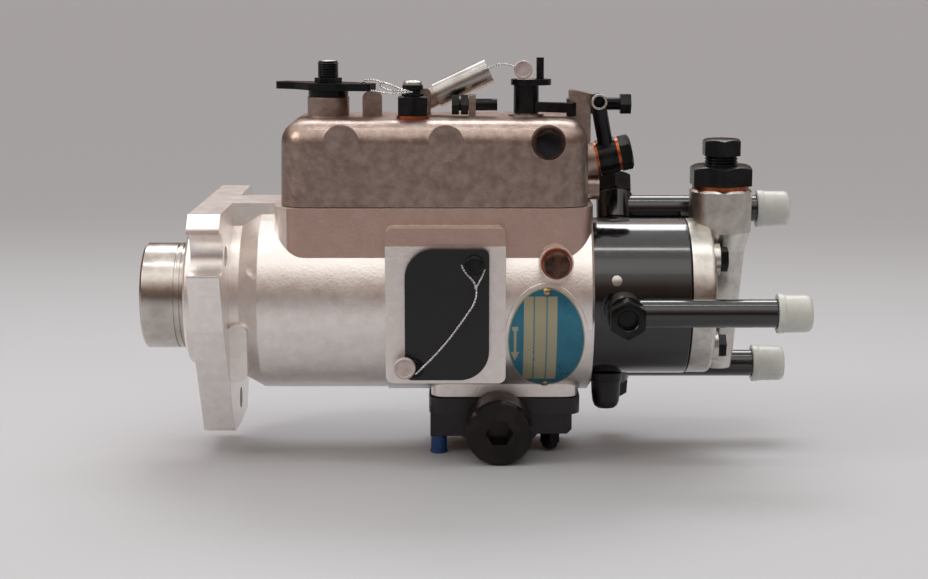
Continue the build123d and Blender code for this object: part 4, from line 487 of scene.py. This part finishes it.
def swept(name, lines, radius, material):
    """Sweeps a round wire, its radius in millimetres, along each line of points and joins them."""
    bpy.ops.object.select_all(action="DESELECT")
    for line in lines:
        curve = bpy.data.curves.new(name, "CURVE")
        curve.dimensions = "3D"
        curve.bevel_depth = radius / 1000
        curve.bevel_resolution = 2
        curve.use_fill_caps = True
        spline = curve.splines.new("POLY")
        spline.points.add(len(line) - 1)
        for knot, place in zip(spline.points, line):
            knot.co = (*place, 1)
        holder = bpy.data.objects.new(name, curve)
        bpy.context.collection.objects.link(holder)
        holder.select_set(True)
        bpy.context.view_layer.objects.active = holder
    bpy.ops.object.convert(target="MESH")
    if len(lines) > 1:
        bpy.ops.object.join()
    wire = bpy.context.object
    wire.name = name
    wire.data.materials.clear()
    wire.data.materials.append(material)
    bpy.ops.object.shade_smooth()
    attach(wire, "pump_body")
    return wire


def coil(foot, along, radius, pitch, length):
    """Lists the points of a coil that rises from its foot along an axis, all in millimetres."""
    side = along.orthogonal().normalized()
    other = along.cross(side)
    steps_per_turn = 24
    steps = round(steps_per_turn * length / pitch)
    points = []
    for step in range(steps + 1):
        turn = 2 * math.pi * step / steps_per_turn
        spoke = side * math.cos(turn) + other * math.sin(turn)
        points.append((Vector(foot) + along * length * step / steps + radius * spoke) / 1000)
    return points


advance_line = coil((124.3, 13.8, -51.6), Vector((0, 1, 0)), radius=5.5, pitch=4, length=17.9)
advance_spring = swept("advance_spring_coil", [advance_line], 0.85, spring_wire)
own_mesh(advance_spring)
regulating_line = coil((column_x, 0, 0.8), Vector((0, 0, 1)), radius=2.6, pitch=2.6, length=34.3)
regulating_spring = swept("regulating_spring_coil", [regulating_line], 0.36, spring_wire)
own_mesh(regulating_spring)
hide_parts("valve_springs")
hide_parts("valve_springs")

# Inspection cover.
# A pressed steel plate stove enamelled in satin black.
black_enamel = surface("stoved_black_enamel", ("#0c0c0e", "#131316"), 13, 0.6, 0.02, (0.26, 0.36),
                       0.0, waves=0.12)
dress(black_enamel, "inspection_cover")

# Governor cover.
# Cast aluminium left bare, darker and more open grained than the body.
bare_casting = surface("bare_cast_aluminium", ("#9a877e", "#b3a299"), 4, 0.8, 0.08, (0.32, 0.42),
                       waves=0.03)
dress(bare_casting, "governor_cover")

# Gaskets.
# Pressed paper, dark grey and matt.
gasket_paper = surface("pressed_gasket_paper", ("#4b4740", "#5c574e"), 3, 0.3, 0.01, (0.8, 0.9), 0.0)
dress(gasket_paper, "gaskets")

# Lever shafts, their nut and the stop screws.
# The shafts are zinc plated. The screws are black, with rolled threads that stand clear of
# their lugs.
dress(zinc_plate, "throttle_shaft")
dress(black_oxide, "shutoff_shaft", "shutoff_nut_and_washer")
fit(lathe(thread(2.75, 0.45, 0.8, 12.4)), "stop_screw_thread", black_oxide, "pump_body",
    ((163, 0, 81.8), (1, 0, 0)))
shutoff_x = 52.5
fit(lathe(thread(4.4, 0.36, 1, 6)), "shutoff_stud_thread", black_oxide, "shutoff",
    ((shutoff_x, 0, 93.2), (0, 0, 1)))
fit(lathe([(3.7, 0), (3.6, 0.3), (3.2, 0.45), (0.1, 0.5)]), "shutoff_stud_end", zinc_plate, "shutoff",
    ((shutoff_x, 0, 99.6), (0, 0, 1)))

# Cap nuts of the governor cover and of the advance unit.
# The cover's nut is a hexagon with a tall neck, grooved for the seal wire and bright on top.
nut_x = 88.5
nut_y = -17
cover_nut, = fit(hexagon(12, 8), "cover_cap_nut", black_oxide, "pump_body",
                 ((nut_x, nut_y, 78.2), (0, 0, 1)))
neck_profile = [(4.6, 0), (4.6, 1.1), (3.4, 1.5), (3.4, 2.5), (4.3, 2.9), (4.3, 4.6), (4.1, 4.8),
                (0.1, 4.8)]
cover_nut_neck, = fit(lathe(neck_profile), "cover_cap_nut_neck", black_oxide, "pump_body",
                      ((nut_x, nut_y, 86), (0, 0, 1)))
cover_nut_top, = fit(lathe([(3.9, 0), (3.9, 1.1), (3.5, 1.6), (2.6, 1.9), (0.1, 2)]),
                     "cover_cap_nut_end", zinc_plate, "pump_body", ((nut_x, nut_y, 90.7), (0, 0, 1)))
advance_nut_x = 146.3
advance_nut_y = -12
advance_nut, = fit(hexagon(8, 5), "advance_cap_nut", black_oxide, "pump_body",
                   ((advance_nut_x, advance_nut_y, -56.8), (0, 0, -1)))
advance_nut_dome, = fit(lathe([(3.4, 0), (3.4, 1), (3.1, 2.1), (2.2, 2.9), (0.1, 3.1)]),
                        "advance_cap_nut_dome", black_oxide, "pump_body",
                        ((advance_nut_x, advance_nut_y, -61.6), (0, 0, -1)))
for piece in (cover_nut, cover_nut_neck, cover_nut_top, advance_nut, advance_nut_dome):
    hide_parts("cap_nuts")

# Side screws.
# A browned, domed vent screw on the body, a coned hexagon on a washer face that bleeds the
# cover, and two low screws that hold the inspection cover.
browned_steel = surface("heat_browned_steel", ("#3a2a24", "#63483c"), 4, 0.4, 0.01, (0.26, 0.4), 0.8)
vent_screw, = fit(lathe([(5.5, 0), (5.5, 2.9), (5.2, 3.8), (4.4, 4.4), (2.4, 4.6), (0.1, 4.6)]),
                  "vent_screw", browned_steel, "pump_body", ((147.1, -41.7, 20), (0, -1, 0)))
bleed_x = 143.8
bleed_height = 68.2
bleed_washer, = fit(lathe([(6.6, 0), (6.8, 0.2), (6.8, 0.9), (6.5, 1.1), (0.1, 1.1)]),
                    "bleed_screw_washer_face", browned_steel, "pump_body",
                    ((bleed_x, -34.2, bleed_height), (0, -1, 0)))
bleed_screw, = fit(hexagon(10, 4), "bleed_screw", black_oxide, "pump_body",
                   ((bleed_x, -35.2, bleed_height), (0, -1, 0)))
screw_foot_y = -44.5
cover_screws = fit(lathe([(3.9, 0), (3.9, 1.6), (3.5, 2.2), (2.6, 2.5), (2.4, 1.9), (0.1, 1.9)]),
                   "inspection_screw", black_oxide, "pump_body",
                   ((113.8, screw_foot_y, 20), (0, -1, 0)), ((89.2, screw_foot_y, -22.5), (0, -1, 0)))
for piece in (vent_screw, bleed_washer, bleed_screw, *cover_screws):
    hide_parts("side_screws")

# Open end of the return pipe and sealing plug of the head.
# Both are cut bright: a bare ring round the pipe's mouth, and a low disc pressed in the head.
fit(lathe([(2.3, 0), (3.25, 0), (3.3, 0.2), (3.15, 0.35), (2.4, 0.35), (2.3, 0)], corners=32),
    "return_pipe_mouth", zinc_plate, "pump_body", ((return_x, -18.95, 83.8), (0, -1, 0)))
head_plug_angle = 160
fit(lathe([(2.3, 0), (2.3, 0.1), (2, 0.25), (0.1, 0.3)], corners=32), "head_plug", zinc_plate,
    "pump_body", (round_shaft(172.5, 33.1, head_plug_angle), across(head_plug_angle)))

# Sealing sleeve.
# A short length of drawn aluminium tube, slid over the adjusting screw's nut.
drawn_tube = surface("drawn_aluminium_tube", ("#a9a6a1", "#c2bfbb"), 7, 0.5, 0.004, (0.24, 0.32))
dress(drawn_tube, "sealing_sleeve")

# Lead seals.
# Cast discs squeezed onto the wires, so each has a raised rim round a flat middle.
lead = surface("pressed_lead", ("#bfb2af", "#d9cdc9"), 3, 0.5, 0.03, (0.36, 0.5), 0.6)
upper_profile = [(3.6, 0), (3.85, 0.3), (3.85, 2.2), (3.6, 2.5), (3.1, 2.5), (2.9, 2.2), (0.1, 2.2)]
upper_seal, = fit(lathe(upper_profile), "throttle_seal", lead, "pump_body",
                  ((134.3, -3.25, 96.35), (0, -1, 0)))
lower_profile = [(4.1, 0), (4.4, 0.4), (4.4, 2.6), (4.1, 3), (3.5, 3), (3.3, 2.7), (0.1, 2.7)]
lower_seal, = fit(lathe(lower_profile), "cover_seal", lead, "pump_body",
                  ((85.6, -47.3, -21.5), (0, -1, 0)))
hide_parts("lead_seals")
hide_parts("lead_seals")

# Seal wires.
# Each wire is two tinned strands twisted together. One runs from the adjusting screw to the
# throttle seal, one is looped round the cap nut, and one crosses the inspection cover.
tinned_wire = surface("tinned_wire", ("#bdbdbd", "#dcdcdc"), 2, 0.2, 0.004, (0.2, 0.32))
strand_offset = 0.00024


def route(points):
    """Reads the points of the smooth line that a spline draws through its controls, in metres."""
    curve = bpy.data.curves.new("route", "CURVE")
    curve.dimensions = "3D"
    spline = curve.splines.new("NURBS")
    spline.points.add(len(points) - 1)
    for control, point in zip(spline.points, points):
        control.co = (*(Vector(point) / 1000), 1)
    spline.order_u = 3
    spline.use_endpoint_u = True
    spline.resolution_u = 24
    holder = bpy.data.objects.new("route", curve)
    bpy.context.collection.objects.link(holder)
    line = bpy.data.meshes.new_from_object(holder)
    places = [vertex.co.copy() for vertex in line.vertices]
    bpy.data.objects.remove(holder)
    return places


def twist(name, points, strand=0.26, pitch=2.6):
    """Lays two strands round a route, one turn per pitch, all in millimetres."""
    line = route(points)
    strands = ([], [])
    travelled = 0
    for here, ahead in zip(line, line[1:] + [2 * line[-1] - line[-2]]):
        along = (ahead - here).normalized()
        across_wire = along.cross(Vector((0.3, 1, 0.2))).normalized()
        upward = along.cross(across_wire)
        for strand_points, side in zip(strands, (0, math.pi)):
            turn = 2 * math.pi * travelled * 1000 / pitch + side
            spoke = math.cos(turn) * across_wire + math.sin(turn) * upward
            strand_points.append(here + strand_offset * spoke)
        travelled += (ahead - here).length
    return swept(name, strands, strand, tinned_wire), line


cover_wire, cover_line = twist("cover_seal_wire", [
    (108.6, -45.4, 20.2), (109.4, -45.4, 17.6), (114.6, -45.5, 12.6), (114.6, -45.5, 5.5),
    (109.5, -45.6, -2), (103, -45.6, -11), (95.5, -45.6, -19.5), (89.8, -48.6, -24.2)])
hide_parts("seal_wires")
screw_end, _ = twist("screw_seal_wire", [
    (117.9, -45.5, 18.4), (116.8, -45.5, 14.8), (114.2, -45.6, 10.6)], pitch=2.2)
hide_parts("seal_wires")
throttle_wire, _ = twist("throttle_seal_wire", [
    (114.8, 0.5, 94.6), (120, -0.5, 97.2), (126.5, -2.5, 99.2), (130.6, -4.6, 97.6)], strand=0.2)
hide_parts("seal_wires")
twist("cap_nut_seal_wire", [
    (88.5, -20.9, 88), (84, -20, 88.9), (78, -17, 91.4), (70, -11, 93), (67.6, -8.5, 91.6),
    (67.8, -8.3, 88.6), (73, -13.5, 88), (79, -18, 87.2), (84.5, -21.2, 87.6), (88.5, -21, 88)],
    strand=0.22, pitch=3)
twist("cap_nut_wire_loop", [
    (85, -20.4, 88.2), (80, -17.5, 90.8), (75.6, -15, 91.8), (74.6, -15, 90.4), (77.5, -17, 88.7),
    (82, -19.5, 88.4), (85.5, -20.6, 88.4)], strand=0.22, pitch=3)

# Name plate.
# A thin aluminium plate, printed blue round three bare columns and an arrow that shows
# which way the shaft turns, and held by two rivets.
name_print = surface("blue_printed_aluminium", ("#2a6c84", "#327a92"), 8, 0.4, 0.004, (0.26, 0.36), 0.35)
plate_shader = name_print.node_tree.nodes["Principled BSDF"]
blue = plate_shader.inputs["Base Color"].links[0].from_socket
spot = add(name_print, "ShaderNodeTexCoord").outputs["Object"]
axes = add(name_print, "ShaderNodeSeparateXYZ", Vector=spot)


def within(value, middle, half):
    """Gives 1 where a value in metres lies within half of the middle, both in millimetres."""
    return maths(name_print, "COMPARE", value, middle / 1000, half / 1000)


def combine(operation, *terms):
    """Joins masks or numbers of the plate by one sum, such as MAXIMUM."""
    return maths(name_print, operation, *terms)


across_plate, up_plate = axes.outputs["X"], axes.outputs["Z"]
columns_x = 140.8
columns_height = -12.2
column_parting = 2.6
columns = combine("MULTIPLY", within(across_plate, columns_x, 6.8), within(up_plate, columns_height, 18.6))
lines = combine("MAXIMUM", within(across_plate, columns_x - column_parting, 0.32),
                within(across_plate, columns_x + column_parting, 0.32))
columns = combine("MULTIPLY", columns, combine("SUBTRACT", 1, combine("MULTIPLY", lines, 0.75)))
arrow_x = 130.5
arrow_tip = -21.4
arrow_flare = 0.42
shaft_mark = combine("MULTIPLY", within(across_plate, arrow_x, 0.55), within(up_plate, columns_height, 5.6))
head_slope = combine("MULTIPLY_ADD", up_plate, arrow_flare, -arrow_tip / 1000 * arrow_flare)
off_middle = combine("ABSOLUTE", combine("SUBTRACT", across_plate, arrow_x / 1000))
inside_flare = combine("LESS_THAN", off_middle, head_slope)
head_mark = combine("MULTIPLY", inside_flare, within(up_plate, -19.4, 2.1))
tail_mark = combine("MULTIPLY", within(across_plate, arrow_x, 1.2), within(up_plate, -7, 0.9))
marks = combine("MAXIMUM", combine("MAXIMUM", shaft_mark, head_mark), tail_mark)
plate_x = 143.3
plate_height = -12.3
ring_x = combine("DIVIDE", combine("SUBTRACT", across_plate, plate_x / 1000), 0.0157)
ring_z = combine("DIVIDE", combine("SUBTRACT", up_plate, plate_height / 1000), 0.0223)
ring = combine("ADD", combine("MULTIPLY", ring_x, ring_x), combine("MULTIPLY", ring_z, ring_z))
rim_mark = combine("GREATER_THAN", ring, 0.95)
bare = combine("MAXIMUM", combine("MAXIMUM", columns, marks), rim_mark)
printed = add(name_print, "ShaderNodeMix", {"data_type": "RGBA"}, i0=bare, i6=blue, i7=linear("#aba58a"))
name_print.node_tree.links.new(printed.outputs[2], plate_shader.inputs["Base Color"])
dress(name_print, "name_plate")
rivet_metal = surface("brassy_rivet", ("#b49a68", "#cfb682"), 2, 0.3, 0.006, (0.22, 0.34))
rivet_reach = 40.8
rivet_angles = (168, 234.5)
rivet_seats = [(round_shaft(plate_x, rivet_reach, angle), across(angle)) for angle in rivet_angles]
fit(lathe([(1.7, 0), (1.68, 0.4), (1.4, 0.75), (0.9, 0.98), (0.1, 1.05)], corners=24),
    "name_plate_rivet", rivet_metal, "pump_body", *rivet_seats)
